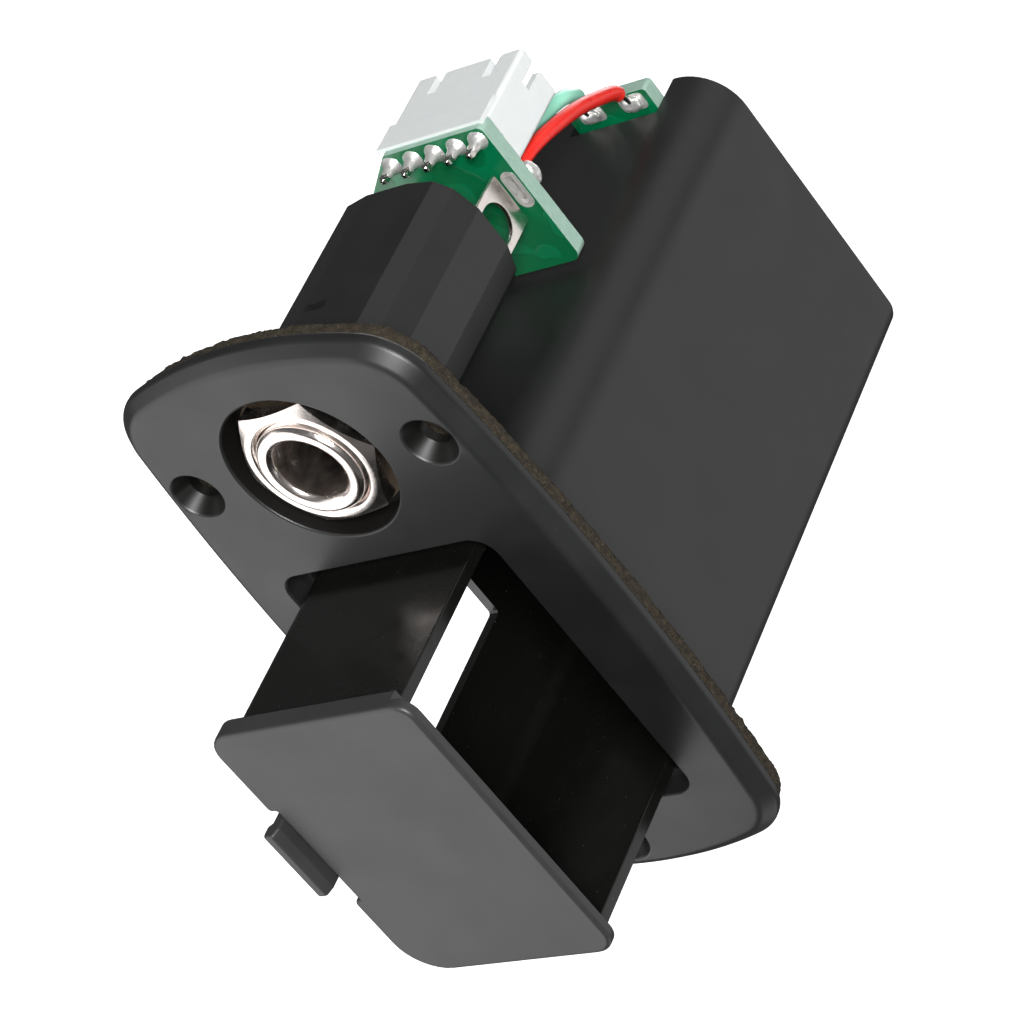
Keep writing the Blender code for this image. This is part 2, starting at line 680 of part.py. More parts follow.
def make_solder_joints(parts):
    """A cone of solder round each pin, on the board's front."""
    for i, z in enumerate(pin_heights()):
        back = BOARD_FRONT - 0.1 * MM
        profile = [
            (0.62 * MM, back - 1.1 * MM),
            (0.7 * MM, back - 0.6 * MM),
            (1.05 * MM, back),
            (0.5 * MM, back),
            (0.5 * MM, back - 1.1 * MM),
        ]
        joint = turned(f"solder_joint_{i + 1}", profile, (PIN_X, z), SMALL_STEPS, parts)
        paint(joint, "solder")


def dome(name, centre, radius, y_flat, height, parts):
    """A drop of solder: flat at y_flat, rounded away from it by height."""
    steps = 4
    rim = [
        (radius * math.cos(a), y_flat + height * math.sin(a))
        for a in [i * math.pi / 2.0 / steps for i in range(steps)]
    ]
    if height > 0.0:
        profile = [(0.0, y_flat)] + rim + [(0.0, y_flat + height)]
    else:
        profile = [(0.0, y_flat + height)] + rim[::-1] + [(0.0, y_flat)]
    return paint(turned(name, profile, centre, SMALL_STEPS, parts), "solder")


# ---------------------------------------------------------------- battery contacts and wires


def make_contact_board(parts, cutters):
    """Board across the back of the battery box, with a tab out through the box's side."""
    board_span = (CONTACT_FRONT, CONTACT_BACK)
    board = slab("contact_board", [rounded(swollen(CAVITY_CORNERS, -FIT))], "Y", board_span, parts)
    tab_outline = rectangle((TAB_X, -7.0 * MM), TAB_Z)
    join(board, slab("contact_board_tab", [tab_outline], "Y", board_span, cutters))
    return paint(board, "board_green")


def make_battery_contact(name, x, parts):
    """Leaf spring that meets a battery terminal, hinged near the board."""
    path = [(49.0 * MM, -6.2 * MM), (47.4 * MM, -1.6 * MM), (47.0 * MM, -0.6 * MM), (47.6 * MM, 0.6 * MM)]
    span = (x - SPRING_WIDTH / 2.0, x + SPRING_WIDTH / 2.0)
    outline = strip_outline(path, SPRING_THICKNESS)
    return paint(slab(name, [outline], "X", span, parts), "brass")


def make_wires(parts):
    red = wire("red_wire", smooth_route(RED_ROUTE), WIRE_RADIUS, parts)
    green = wire("green_wire", smooth_route(GREEN_ROUTE), WIRE_RADIUS, parts)
    paint(red, "wire_red")
    paint(green, "wire_green")


# ---------------------------------------------------------------- drawer and latch


def hang_on(obj, name, place, parts):
    """Parents a moving piece to an empty that stands on its joint's axis."""
    empty = bpy.data.objects.new(name, None)
    empty.location = place
    parts.objects.link(empty)
    obj.parent = empty
    obj.matrix_parent_inverse = Matrix.Translation(place).inverted()


def panel_outline():
    """Front panel of the drawer, with the notch for the latch finger in its lower edge."""
    corners = [
        (-9.1 * MM, PANEL_LOW, 2.4 * MM),
        (21.9 * MM, PANEL_LOW, 4.1 * MM),
        (21.9 * MM, 10.3 * MM, 2.4 * MM),
        (-9.1 * MM, 10.3 * MM, 1.7 * MM),
    ]
    points = rounded(corners, 5)
    first = len(points) // 4
    notch = [
        (PANEL_NOTCH_X[0], PANEL_LOW),
        (PANEL_NOTCH_X[0], PANEL_NOTCH_TOP),
        (PANEL_NOTCH_X[1], PANEL_NOTCH_TOP),
        (PANEL_NOTCH_X[1], PANEL_LOW),
    ]
    return points[:first] + notch + points[first:]


def make_drawer_tray(parts, cutters):
    tray = slab("drawer_tray", [panel_outline()], "Y", (PANEL_FRONT, PANEL_BACK), parts)
    shell_span = (PANEL_BACK - 0.5 * MM, TRAY_BACK)
    corners = [(*point, radius) for point, radius in zip(rectangle(TRAY_X, TRAY_Z), TRAY_RADII)]
    join(tray, slab("tray_shell", [rounded(corners)], "Y", shell_span, cutters))
    inner_x = (TRAY_X[0] + WALL, TRAY_X[1] - WALL)
    floor_top = TRAY_Z[0] + TRAY_FLOOR
    lip_front = TRAY_BACK - WALL
    room_outline = rectangle(inner_x, (floor_top, TRAY_Z[1] + 3.0 * MM))
    room = slab("tray_room", [room_outline], "Y", (PANEL_FRONT + PANEL_SKIN, lip_front), cutters)
    over_outline = rectangle(inner_x, (TRAY_LIP_TOP, TRAY_Z[1] + 3.5 * MM))
    over_lip = slab("tray_over_lip", [over_outline], "Y", (lip_front - MM, TRAY_BACK + MM), cutters)
    window_outline = rectangle(TRAY_WINDOW_X, TRAY_WINDOW_Y)
    window = slab("tray_window", [window_outline], "Z", (TRAY_Z[0] - MM, floor_top + MM), cutters)
    above_outline = rectangle((-10.0 * MM, 23.0 * MM), (TRAY_Z[1] + 0.05 * MM, TRAY_Z[1] + 4.0 * MM))
    above = slab("panel_relief", [above_outline], "Y", (PANEL_FRONT + PANEL_SKIN, PANEL_BACK + MM), cutters)
    cut(tray, room, over_lip, window, above)
    place = Vector(((TRAY_X[0] + TRAY_X[1]) / 2.0, PANEL_FRONT, (TRAY_Z[0] + TRAY_Z[1]) / 2.0))
    hang_on(tray, "drawer_slide", place, parts)
    return paint(tray, "panel_plastic")


def make_latch_finger(parts):
    """Finger with a lip at its tip and a barb that catches behind the plate."""
    root_y = (HINGE_Y - MM, HINGE_Y + MM)
    barb_y = (-16.35 * MM, -14.75 * MM)
    outline = [
        (FINGER_TIP, FINGER_LIP),
        (FINGER_TIP + 1.0 * MM, FINGER_LIP),
        (FINGER_TIP + 1.4 * MM, FINGER_LOW),
        (barb_y[0], FINGER_LOW),
        (barb_y[1] - 0.4 * MM, FINGER_BARB),
        (barb_y[1], FINGER_BARB),
        (barb_y[1], FINGER_LOW),
        (root_y[1], FINGER_LOW),
        (root_y[1], ROOT_TOP),
        (root_y[0], ROOT_TOP),
        (root_y[0] - 0.8 * MM, FINGER_TOP),
        (FINGER_TIP + 0.4 * MM, FINGER_TOP),
        (FINGER_TIP, FINGER_TOP - 0.4 * MM),
    ]
    finger = slab("latch_finger", [outline], "X", FINGER_X, parts)
    place = Vector(((FINGER_X[0] + FINGER_X[1]) / 2.0, HINGE_Y, HINGE_Z))
    hang_on(finger, "latch_hinge", place, parts)
    return paint(finger, "panel_plastic")


# ---------------------------------------------------------------- build


def main():
    clear_scene()
    make_materials()
    parts = make_collection("battery_jack_plate")
    cutters = make_collection("cutters")
    make_housing(parts, cutters)
    make_gasket(parts, cutters)
    make_nut_washer(parts)
    make_jack_nut(parts, cutters)
    make_jack_bushing(parts)
    make_jack_body(parts)
    make_tip_contact(parts)
    make_ring_contact(parts)
    make_sleeve_terminal(parts)
    make_jack_pcb(parts)
    make_header_shell(parts, cutters)
    make_header_pins(parts)
    make_solder_joints(parts)
    dome("terminal_solder", (-19.4 * MM, 7.0 * MM), 1.1 * MM, BOARD_BACK + 0.1 * MM, 1.1 * MM, parts)
    make_contact_board(parts, cutters)
    half_pitch = BATTERY_TERMINAL_PITCH / 2.0
    make_battery_contact("battery_contact_pos", BATTERY_X - half_pitch, parts)
    make_battery_contact("battery_contact_neg", BATTERY_X + half_pitch, parts)
    pad_y = CONTACT_FRONT - 0.1 * MM
    dome("pad_solder_red", (PAD_X, RED_PAD_Z), 1.2 * MM, pad_y, -0.7 * MM, parts)
    dome("pad_solder_green", (PAD_X, GREEN_PAD_Z), 1.2 * MM, pad_y, -0.7 * MM, parts)
    make_wires(parts)
    make_drawer_tray(parts, cutters)
    make_latch_finger(parts)


main()
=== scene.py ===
import math

import bmesh
import bpy
from mathutils import Matrix, Vector, noise


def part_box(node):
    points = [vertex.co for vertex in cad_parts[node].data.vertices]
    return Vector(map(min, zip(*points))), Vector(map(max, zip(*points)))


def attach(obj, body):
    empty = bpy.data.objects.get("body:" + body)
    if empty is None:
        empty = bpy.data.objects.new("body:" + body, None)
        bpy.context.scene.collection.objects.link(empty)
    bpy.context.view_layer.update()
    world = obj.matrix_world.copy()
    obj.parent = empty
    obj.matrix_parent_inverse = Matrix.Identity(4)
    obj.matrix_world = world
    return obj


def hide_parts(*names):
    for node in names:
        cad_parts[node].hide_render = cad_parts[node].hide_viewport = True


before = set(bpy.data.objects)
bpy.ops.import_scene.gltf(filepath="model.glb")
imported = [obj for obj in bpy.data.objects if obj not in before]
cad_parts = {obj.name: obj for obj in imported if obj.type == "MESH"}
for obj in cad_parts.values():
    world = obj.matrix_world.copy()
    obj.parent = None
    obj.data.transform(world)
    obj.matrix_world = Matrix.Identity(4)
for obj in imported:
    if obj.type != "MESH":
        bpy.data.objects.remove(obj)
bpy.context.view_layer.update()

# Looks of the jack plate and its battery drawer. Metres, in the CAD model's frame: -Y is outward, +Y goes
# into the instrument, +X runs from the jack to the drawer and +Z is the tray's open side.
MM = 0.001
ROUND = 72
QUARTER = math.pi / 2.0

# Noise vectors are offset by random numbers, which this seed makes the same in each run
noise.seed_set(1)


# ---------------------------------------------------------------- outlines


def arc(x, y, radius, start, end, steps):
    """Points on an arc from start to end, in radians, both ends included."""
    angles = [start + (end - start) * i / steps for i in range(steps + 1)]
    return [(x + radius * math.cos(a), y + radius * math.sin(a)) for a in angles]


def circle(x, y, radius, steps=ROUND):
    return arc(x, y, radius, 0.0, math.tau, steps)[:-1]


def rectangle(x, y):
    return [(x[0], y[0]), (x[1], y[0]), (x[1], y[1]), (x[0], y[1])]


def rounded_rectangle(x, y, radius, steps=8):
    return rounded([(a, b, radius) for a, b in rectangle(x, y)], steps)


def rounded(corners, steps=8):
    """Outline of a polygon given as (x, y, corner radius), anticlockwise."""
    points = []
    count = len(corners)
    for i, (x, y, radius) in enumerate(corners):
        here = Vector((x, y))
        back = (Vector(corners[i - 1][:2]) - here).normalized()
        ahead = (Vector(corners[(i + 1) % count][:2]) - here).normalized()
        half = back.angle(ahead) / 2.0
        centre = here + (back + ahead).normalized() * radius / math.sin(half)
        start = here + back * radius / math.tan(half) - centre
        end = here + ahead * radius / math.tan(half) - centre
        first = math.atan2(start.y, start.x)
        turn = (math.atan2(end.y, end.x) - first + math.pi) % math.tau - math.pi
        points += arc(centre.x, centre.y, radius, first, first + turn, steps)
    return points


def soften(path, radius, steps=4):
    """An open path of (x, y) points with its inner corners rounded."""
    points = [path[0]]
    for i in range(1, len(path) - 1):
        here = Vector(path[i])
        back = Vector(path[i - 1]) - here
        ahead = Vector(path[i + 1]) - here
        reach = min(radius, back.length * 0.45, ahead.length * 0.45)
        start = here + back.normalized() * reach
        end = here + ahead.normalized() * reach
        for k in range(steps + 1):
            t = k / steps
            bend = start * (1 - t) ** 2 + here * 2 * t * (1 - t) + end * t * t
            points.append((bend.x, bend.y))
    return points + [path[-1]]


def grow(outline, amount):
    """The outline moved outward by amount, corner by corner, or inward where it is negative."""
    if abs(amount) < 1e-9:
        return list(outline)
    moved = []
    count = len(outline)
    for i in range(count):
        here = Vector(outline[i])
        before = (here - Vector(outline[i - 1])).normalized()
        after = (Vector(outline[(i + 1) % count]) - here).normalized()
        out_before = Vector((before.y, -before.x))
        out_after = Vector((after.y, -after.x))
        middle = (out_before + out_after).normalized()
        moved.append(tuple(here + middle * amount / max(middle.dot(out_after), 0.3)))
    return moved


# ---------------------------------------------------------------- meshes

# Where a flat outline's first and second values, and the way it is drawn out, go in X, Y and Z
STAND = {
    "X": lambda a, b, c: (c, a, b),
    "Y": lambda a, b, c: (a, c, b),
    "Z": lambda a, b, c: (a, b, c),
}


def make_object(name, mesh):
    obj = bpy.data.objects.new(name, mesh)
    bpy.context.scene.collection.objects.link(obj)
    return obj


def loft(name, rings):
    """A closed solid through rings of points, each with the same count."""
    mesh = bpy.data.meshes.new(name)
    edit = bmesh.new()
    loops = [[edit.verts.new(p) for p in ring] for ring in rings]
    count = len(loops[0])
    for low, high in zip(loops, loops[1:]):
        for i in range(count):
            j = (i + 1) % count
            edit.faces.new((low[i], low[j], high[j], high[i]))
    edit.faces.new(loops[0][::-1])
    edit.faces.new(loops[-1])
    bmesh.ops.recalc_face_normals(edit, faces=edit.faces)
    edit.to_mesh(mesh)
    edit.free()
    return make_object(name, mesh)


def prism(name, outline, span, axis="Y", low=0.0, high=0.0, steps=4):
    """A flat outline drawn out along an axis. low and high are the radii that round its two ends."""
    place = STAND[axis]
    section = []
    for k in range(steps + 1 if low else 1):
        turn = QUARTER * k / steps
        section.append((-low * (1.0 - math.sin(turn)), span[0] + low * (1.0 - math.cos(turn))))
    for k in range(steps + 1 if high else 1):
        turn = QUARTER * (1.0 - k / steps)
        section.append((-high * (1.0 - math.sin(turn)), span[1] - high * (1.0 - math.cos(turn))))
    return loft(name, [[place(a, b, c) for a, b in grow(outline, d)] for d, c in section])


def cutter(outline, surface, depth, flare):
    """A cutting solid that enters along Y at surface, goes to depth and leaves a lip of radius flare."""
    way = 1.0 if depth > surface else -1.0
    section = [(flare, surface - way * MM)]
    steps = 4
    first = math.radians(12.0)
    for k in range(steps + 1):
        turn = first + (QUARTER - first) * k / steps
        section.append((flare * (1.0 - math.sin(turn)), surface + way * flare * (1.0 - math.cos(turn))))
    section.append((0.0, depth))
    return loft("cutter", [[(x, y, z) for x, z in grow(outline, wider)] for wider, y in section])


def turned(name, profile, centre, steps=ROUND):
    """A closed profile of (radius, Y) turned about a line along Y."""
    mesh = bpy.data.meshes.new(name)
    edit = bmesh.new()
    loops = []
    for radius, y in profile:
        if radius <= 0.0:
            loops.append([edit.verts.new((centre[0], y, centre[1]))])
        else:
            loops.append([edit.verts.new((x, y, z)) for x, z in circle(*centre, radius, steps)])
    for k, low in enumerate(loops):
        high = loops[(k + 1) % len(loops)]
        if len(low) == 1 and len(high) == 1:
            continue
        for i in range(steps):
            j = (i + 1) % steps
            if len(low) == 1:
                edit.faces.new((low[0], high[j], high[i]))
            elif len(high) == 1:
                edit.faces.new((low[i], low[j], high[0]))
            else:
                edit.faces.new((low[i], low[j], high[j], high[i]))
    bmesh.ops.recalc_face_normals(edit, faces=edit.faces)
    edit.to_mesh(mesh)
    edit.free()
    return make_object(name, mesh)


def settle(obj):
    """Applies all of an object's modifiers."""
    graph = bpy.context.evaluated_depsgraph_get()
    mesh = bpy.data.meshes.new_from_object(obj.evaluated_get(graph))
    obj.modifiers.clear()
    obj.data = mesh
    return obj


def combine(base, others, operation):
    """Joins or cuts one object with others, which are used up."""
    for other in others:
        modifier = base.modifiers.new("boolean", "BOOLEAN")
        modifier.operation = operation
        modifier.solver = "EXACT"
        modifier.object = other
        settle(base)
        bpy.data.objects.remove(other, do_unlink=True)
    return base


def join(base, *others):
    return combine(base, others, "UNION")


def cut(base, *others):
    return combine(base, others, "DIFFERENCE")


def tidy(obj, sharp=40.0):
    """Merges stray points, shades smooth with crisp edges, and keeps flat faces flat."""
    edit = bmesh.new()
    edit.from_mesh(obj.data)
    bmesh.ops.remove_doubles(edit, verts=edit.verts, dist=0.002 * MM)
    bmesh.ops.dissolve_degenerate(edit, edges=edit.edges, dist=0.001 * MM)
    edit.to_mesh(obj.data)
    edit.free()
    obj.data.shade_smooth()
    obj.data.set_sharp_from_angle(angle=math.radians(sharp))
    weight = obj.modifiers.new("weight", "WEIGHTED_NORMAL")
    weight.keep_sharp = True
    weight.weight = 100
    return settle(obj)


def tube(name, points, radius, resolution=8):
    """A round wire through points, as a mesh."""
    curve = bpy.data.curves.new(name, "CURVE")
    curve.dimensions = "3D"
    curve.bevel_depth = radius
    curve.bevel_resolution = resolution
    curve.use_fill_caps = True
    spline = curve.splines.new("POLY")
    spline.points.add(len(points) - 1)
    for target, point in zip(spline.points, points):
        target.co = (*point, 1.0)
    guide = make_object(name + "_guide", curve)
    graph = bpy.context.evaluated_depsgraph_get()
    mesh = bpy.data.meshes.new_from_object(guide.evaluated_get(graph))
    bpy.data.objects.remove(guide, do_unlink=True)
    return make_object(name, mesh)


def smooth_route(points, per_span=10):
    """Points on a Catmull-Rom curve through a route given in millimetres."""
    route = [Vector(p) * MM for p in points]
    route = [route[0] * 2.0 - route[1]] + route + [route[-1] * 2.0 - route[-2]]
    smooth = []
    for a, b, c, d in zip(route, route[1:], route[2:], route[3:]):
        for i in range(per_span):
            t = i / per_span
            bend = (a * 2.0 - b * 5.0 + c * 4.0 - d) * t * t
            twist = (b * 3.0 - a - c * 3.0 + d) * t * t * t
            smooth.append((b * 2.0 + (c - a) * t + bend + twist) / 2.0)
    return smooth + [route[-2]]


# ---------------------------------------------------------------- materials


class Shader:
    """A Principled material whose detail comes from object-space noise."""

    def __init__(self, name, colour, roughness, metallic=0.0, specular=0.5):
        self.material = bpy.data.materials.new(name)
        self.material.use_nodes = True
        self.tree = self.material.node_tree
        self.shader = self.tree.nodes["Principled BSDF"]
        self.colour = (*colour, 1.0)
        self.shader.inputs["Base Color"].default_value = self.colour
        self.shader.inputs["Roughness"].default_value = roughness
        self.shader.inputs["Metallic"].default_value = metallic
        self.shader.inputs["Specular IOR Level"].default_value = specular
        self.height = None
        self.place = self.node("ShaderNodeTexCoord").outputs["Object"]

    def node(self, kind, **settings):
        made = self.tree.nodes.new(kind)
        for key, value in settings.items():
            setattr(made, key, value)
        return made

    def link(self, source, target):
        self.tree.links.new(source, target)

    def stretched(self, scale):
        mapping = self.node("ShaderNodeMapping")
        mapping.inputs["Scale"].default_value = scale
        self.link(self.place, mapping.inputs["Vector"])
        return mapping.outputs["Vector"]

    def noise(self, size, detail=3.0, stretch=None, roughness=0.55):
        """Noise whose features are about size metres across, from 0 to 1."""
        made = self.node("ShaderNodeTexNoise")
        made.inputs["Scale"].default_value = 1.0 / size
        made.inputs["Detail"].default_value = detail
        made.inputs["Roughness"].default_value = roughness
        self.link(self.stretched(stretch) if stretch else self.place, made.inputs["Vector"])
        return made.outputs["Fac"]

    def cells(self, size):
        """Distance to the nearest of many points that lie about size metres apart."""
        made = self.node("ShaderNodeTexVoronoi")
        made.inputs["Scale"].default_value = 1.0 / size
        self.link(self.place, made.inputs["Vector"])
        return made.outputs["Distance"]

    def range(self, value, low, high, to_low, to_high):
        made = self.node("ShaderNodeMapRange")
        sockets = ("From Min", "From Max", "To Min", "To Max")
        for socket, number in zip(sockets, (low, high, to_low, to_high)):
            made.inputs[socket].default_value = number
        self.link(value, made.inputs["Value"])
        return made.outputs["Result"]

    def tint(self, factor, colour):
        """Mixes another colour into the base colour by a factor."""
        mix = self.node("ShaderNodeMix", data_type="RGBA")
        base = self.shader.inputs["Base Color"]
        if base.is_linked:
            self.link(base.links[0].from_socket, mix.inputs["A"])
        else:
            mix.inputs["A"].default_value = self.colour
        mix.inputs["B"].default_value = (*colour, 1.0)
        self.link(factor, mix.inputs["Factor"])
        self.link(mix.outputs["Result"], base)

    def gloss(self, value, low, high, to_low, to_high):
        self.link(self.range(value, low, high, to_low, to_high), self.shader.inputs["Roughness"])

    def bump(self, value, depth):
        """Adds a bump of this depth in metres."""
        made = self.node("ShaderNodeBump")
        made.inputs["Distance"].default_value = depth
        made.inputs["Strength"].default_value = 1.0
        self.link(value, made.inputs["Height"])
        if self.height:
            self.link(self.height, made.inputs["Normal"])
        self.height = made.outputs["Normal"]
        self.link(self.height, self.shader.inputs["Normal"])


def satin_plastic(name, colour, roughness, grain=0.12 * MM, specular=0.5):
    """Moulded black plastic with a fine spark-eroded texture, uneven gloss and a few pale dust specks."""
    look = Shader(name, colour, roughness, specular=specular)
    depth = 0.004 * MM
    fine = look.noise(grain, 2.0)
    cloud = look.noise(6.0 * MM, 3.0)
    look.bump(fine, depth)
    look.bump(look.noise(grain * 4.0, 2.0), depth * 0.8)
    look.gloss(cloud, 0.3, 0.7, roughness - 0.04, roughness + 0.05)
    look.tint(look.range(cloud, 0.35, 0.7, 0.0, 0.5), tuple(c * 1.35 for c in colour))
    specks = look.range(look.cells(1.6 * MM), 0.03, 0.045, 0.35, 0.0)
    look.tint(specks, (0.09, 0.085, 0.07))
    return look.material


def polished_plastic(name, colour):
    """Smooth mould faces of the drawer: glossier, with slide scratches along Y and dust."""
    look = Shader(name, colour, 0.2, specular=0.5)
    scratches = look.noise(0.5 * MM, 4.0, stretch=(6.0, 0.12, 6.0), roughness=0.7)
    smudge = look.noise(4.0 * MM, 4.0)
    look.gloss(smudge, 0.3, 0.75, 0.16, 0.34)
    look.bump(scratches, 0.0025 * MM)
    look.tint(look.range(scratches, 0.66, 0.74, 0.0, 0.35), (0.05, 0.048, 0.042))
    specks = look.range(look.cells(1.3 * MM), 0.03, 0.05, 0.6, 0.0)
    look.tint(specks, (0.12, 0.11, 0.09))
    return look.material


def foam_look():
    look = Shader("gasket_foam", (0.022, 0.018, 0.013), 0.95, specular=0.2)
    fibres = look.noise(0.16 * MM, 5.0, stretch=(1.0, 0.45, 1.0), roughness=0.75)
    clumps = look.noise(0.6 * MM, 4.0, roughness=0.7)
    look.tint(look.range(clumps, 0.4, 0.7, 0.0, 0.8), (0.060, 0.048, 0.032))
    look.tint(look.range(fibres, 0.58, 0.72, 0.0, 0.75), (0.20, 0.165, 0.105))
    look.bump(fibres, 0.10 * MM)
    look.bump(clumps, 0.12 * MM)
    return look.material


def fibre_look():
    look = Shader("pressed_fibre", (0.050, 0.038, 0.026), 0.85, specular=0.3)
    grain = look.noise(0.14 * MM, 5.0, roughness=0.75)
    look.tint(look.range(grain, 0.45, 0.65, 0.0, 0.8), (0.13, 0.105, 0.075))
    look.bump(grain, 0.05 * MM)
    return look.material


def nickel_look(name="nickel_plate", colour=(0.92, 0.85, 0.81)):
    look = Shader(name, colour, 0.2, metallic=1.0)
    brushed = look.noise(0.25 * MM, 4.0, stretch=(1.0, 3.0, 1.0), roughness=0.65)
    wear = look.noise(1.5 * MM, 4.0, roughness=0.65)
    look.gloss(wear, 0.3, 0.7, 0.14, 0.30)
    look.tint(look.range(wear, 0.5, 0.75, 0.0, 0.35), (0.62, 0.52, 0.46))
    look.bump(brushed, 0.004 * MM)
    look.bump(look.noise(0.8 * MM, 3.0), 0.006 * MM)
    return look.material


def solder_look():
    look = Shader("solder", (0.80, 0.79, 0.77), 0.34, metallic=0.75)
    ripple = look.noise(0.35 * MM, 3.0)
    look.gloss(ripple, 0.3, 0.7, 0.25, 0.45)
    look.bump(ripple, 0.03 * MM)
    return look.material


def brass_look():
    look = Shader("spring_brass", (0.78, 0.60, 0.30), 0.28, metallic=1.0)
    rolled = look.noise(0.2 * MM, 4.0, stretch=(3.0, 0.2, 3.0))
    look.gloss(rolled, 0.3, 0.7, 0.2, 0.38)
    look.tint(look.range(look.noise(1.2 * MM), 0.5, 0.8, 0.0, 0.5), (0.45, 0.30, 0.14))
    look.bump(rolled, 0.003 * MM)
    return look.material


def board_look():
    """Green solder mask over copper: slightly uneven, with paler patches where copper lies beneath."""
    look = Shader("solder_mask", (0.0, 0.105, 0.034), 0.3, specular=0.4)
    look.shader.inputs["Coat Weight"].default_value = 0.4
    look.shader.inputs["Coat Roughness"].default_value = 0.12
    copper = look.noise(2.6 * MM, 1.0, roughness=0.3)
    look.tint(look.range(copper, 0.50, 0.53, 0.0, 0.55), (0.0, 0.165, 0.062))
    look.tint(look.range(look.noise(0.25 * MM), 0.4, 0.7, 0.0, 0.35), (0.0, 0.135, 0.055))
    look.bump(look.range(copper, 0.50, 0.53, 0.0, 1.0), 0.03 * MM)
    look.bump(look.noise(0.5 * MM), 0.006 * MM)
    return look.material


def board_edge_look():
    """Sawn edge of the board: pale mint glass cloth in layers."""
    look = Shader("board_edge", (0.24, 0.38, 0.31), 0.6)
    layers = look.noise(0.3 * MM, 4.0, stretch=(0.3, 3.0, 0.3), roughness=0.7)
    look.tint(look.range(layers, 0.4, 0.7, 0.0, 0.7), (0.40, 0.52, 0.45))
    look.bump(layers, 0.02 * MM)
    return look.material


def nylon_look():
    look = Shader("white_nylon", (0.67, 0.695, 0.69), 0.42)
    look.shader.inputs["Subsurface Weight"].default_value = 0.25
    look.shader.inputs["Subsurface Radius"].default_value = (0.9 * MM, 0.9 * MM, 0.8 * MM)
    look.shader.inputs["Subsurface Scale"].default_value = 1.0
    cloud = look.noise(2.0 * MM, 3.0)
    look.gloss(cloud, 0.3, 0.7, 0.36, 0.5)
    look.tint(look.range(cloud, 0.4, 0.7, 0.0, 0.4), (0.62, 0.65, 0.65))
    look.bump(look.noise(0.2 * MM, 2.0), 0.004 * MM)
    return look.material


def pvc_look(name, colour, shade):
    look = Shader(name, colour, 0.32)
    cloud = look.noise(1.5 * MM, 3.0)
    look.gloss(cloud, 0.3, 0.7, 0.25, 0.42)
    look.tint(look.range(cloud, 0.4, 0.75, 0.0, 0.6), shade)
    look.bump(look.noise(0.4 * MM, 3.0, stretch=(1.0, 0.3, 1.0)), 0.01 * MM)
    return look.material


SATIN = satin_plastic("black_satin", (0.0105, 0.0112, 0.0107), 0.40)
PANEL = satin_plastic("panel_satin", (0.028, 0.0272, 0.028), 0.44, grain=0.10 * MM)
# Darker copy of the housing's plastic with a weaker sheen: painted shade for the countersunk screw hollows
COUNTERSINK_SHADE = satin_plastic("countersink", (0.0035, 0.0035, 0.003), 0.42, specular=0.3)
POLISHED = polished_plastic("tray_gloss", (0.0045, 0.0045, 0.004))
# Darker, duller copy of the housing's plastic: painted shade for the hollow of the jack recess
SHADED = satin_plastic("recess_painted_shade", (0.005, 0.0045, 0.004), 0.55, specular=0.25)
FOAM = foam_look()
FIBRE = fibre_look()
NICKEL = nickel_look()
SOLDER = solder_look()
TINNED = nickel_look("tinned_pin", (0.80, 0.78, 0.75))
BRASS = brass_look()
INSULATOR = satin_plastic("jack_insulator", (0.008, 0.008, 0.008), 0.5)
MASK = board_look()
BOARD_EDGE = board_edge_look()
NYLON = nylon_look()
RED = pvc_look("red_pvc", (0.70, 0.016, 0.010), (0.82, 0.035, 0.02))
MINT = pvc_look("mint_pvc", (0.30, 0.78, 0.58), (0.40, 0.86, 0.68))


def dress(obj, material, body, slot, *nodes):
    """Gives a finished piece its material and its body, and hides the CAD nodes that it stands for. slot is
    not used.
    """
    obj.data.materials.clear()
    obj.data.materials.append(material)
    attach(obj, body)
    if nodes:
        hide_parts(*nodes)
    return obj


def paint_faces(obj, material, chosen):
    """Gives a second material to the faces that chosen picks by their middle and normal."""
    obj.data.materials.append(material)
    slot = len(obj.data.materials) - 1
    for face in obj.data.polygons:
        if chosen(face.center, face.normal):
            face.material_index = slot


# ---------------------------------------------------------------- housing

JACK = (-20.2 * MM, 0.0)
PLATE_FRONT = -3.8 * MM
PLATE_BACK = -1.5 * MM
HOUSING_LOW, HOUSING_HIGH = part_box("housing")
NEAR_LENGTH = -HOUSING_LOW.x
FAR_LENGTH = HOUSING_HIGH.x
HALF_WIDTH = HOUSING_HIGH.z
SIDE_RADIUS = 225.0 * MM
END_RADIUS = 41.0 * MM
CORNER_RADIUS = 6.2 * MM
BOX_BACK = HOUSING_HIGH.y
BOX_MIDDLE = (6.3 * MM, -0.5 * MM)
BOX_TAPER = 0.015
TUBE_BACK = 22.85 * MM
COLLAR_RADIUS = 8.6 * MM
RECESS_RADIUS = 7.75 * MM
BUSH_HOLE = 4.9 * MM
TUBE_BORE = 5.8 * MM
LATCH_SLOT_X = (-0.5 * MM, 13.5 * MM)
LATCH_SLOT_Z = (-14.4 * MM, -9.0 * MM)
LATCH_SLOT_BACK = 16.2 * MM
TAB_SLOT_X = (-12.0 * MM, -5.0 * MM)
TAB_SLOT_Z = (-3.6 * MM, 6.6 * MM)
TAB_SLOT_FRONT = 48.4 * MM
SCREWS = ((-20.1 * MM, 13.0 * MM), (-20.1 * MM, -13.0 * MM), (27.2 * MM, -0.8 * MM))
BOX_CORNERS = (
    (-10.3 * MM, -12.9 * MM, 2.6 * MM),
    (22.75 * MM, -12.9 * MM, 5.0 * MM),
    (22.75 * MM, 11.8 * MM, 2.6 * MM),
    (-10.3 * MM, 11.8 * MM, 5.0 * MM),
)
CAVITY_CORNERS = (
    (-8.65 * MM, -11.3 * MM, 1.5 * MM),
    (21.45 * MM, -11.3 * MM, 3.5 * MM),
    (21.45 * MM, 10.2 * MM, 1.5 * MM),
    (-8.65 * MM, 10.2 * MM, 2.4 * MM),
)
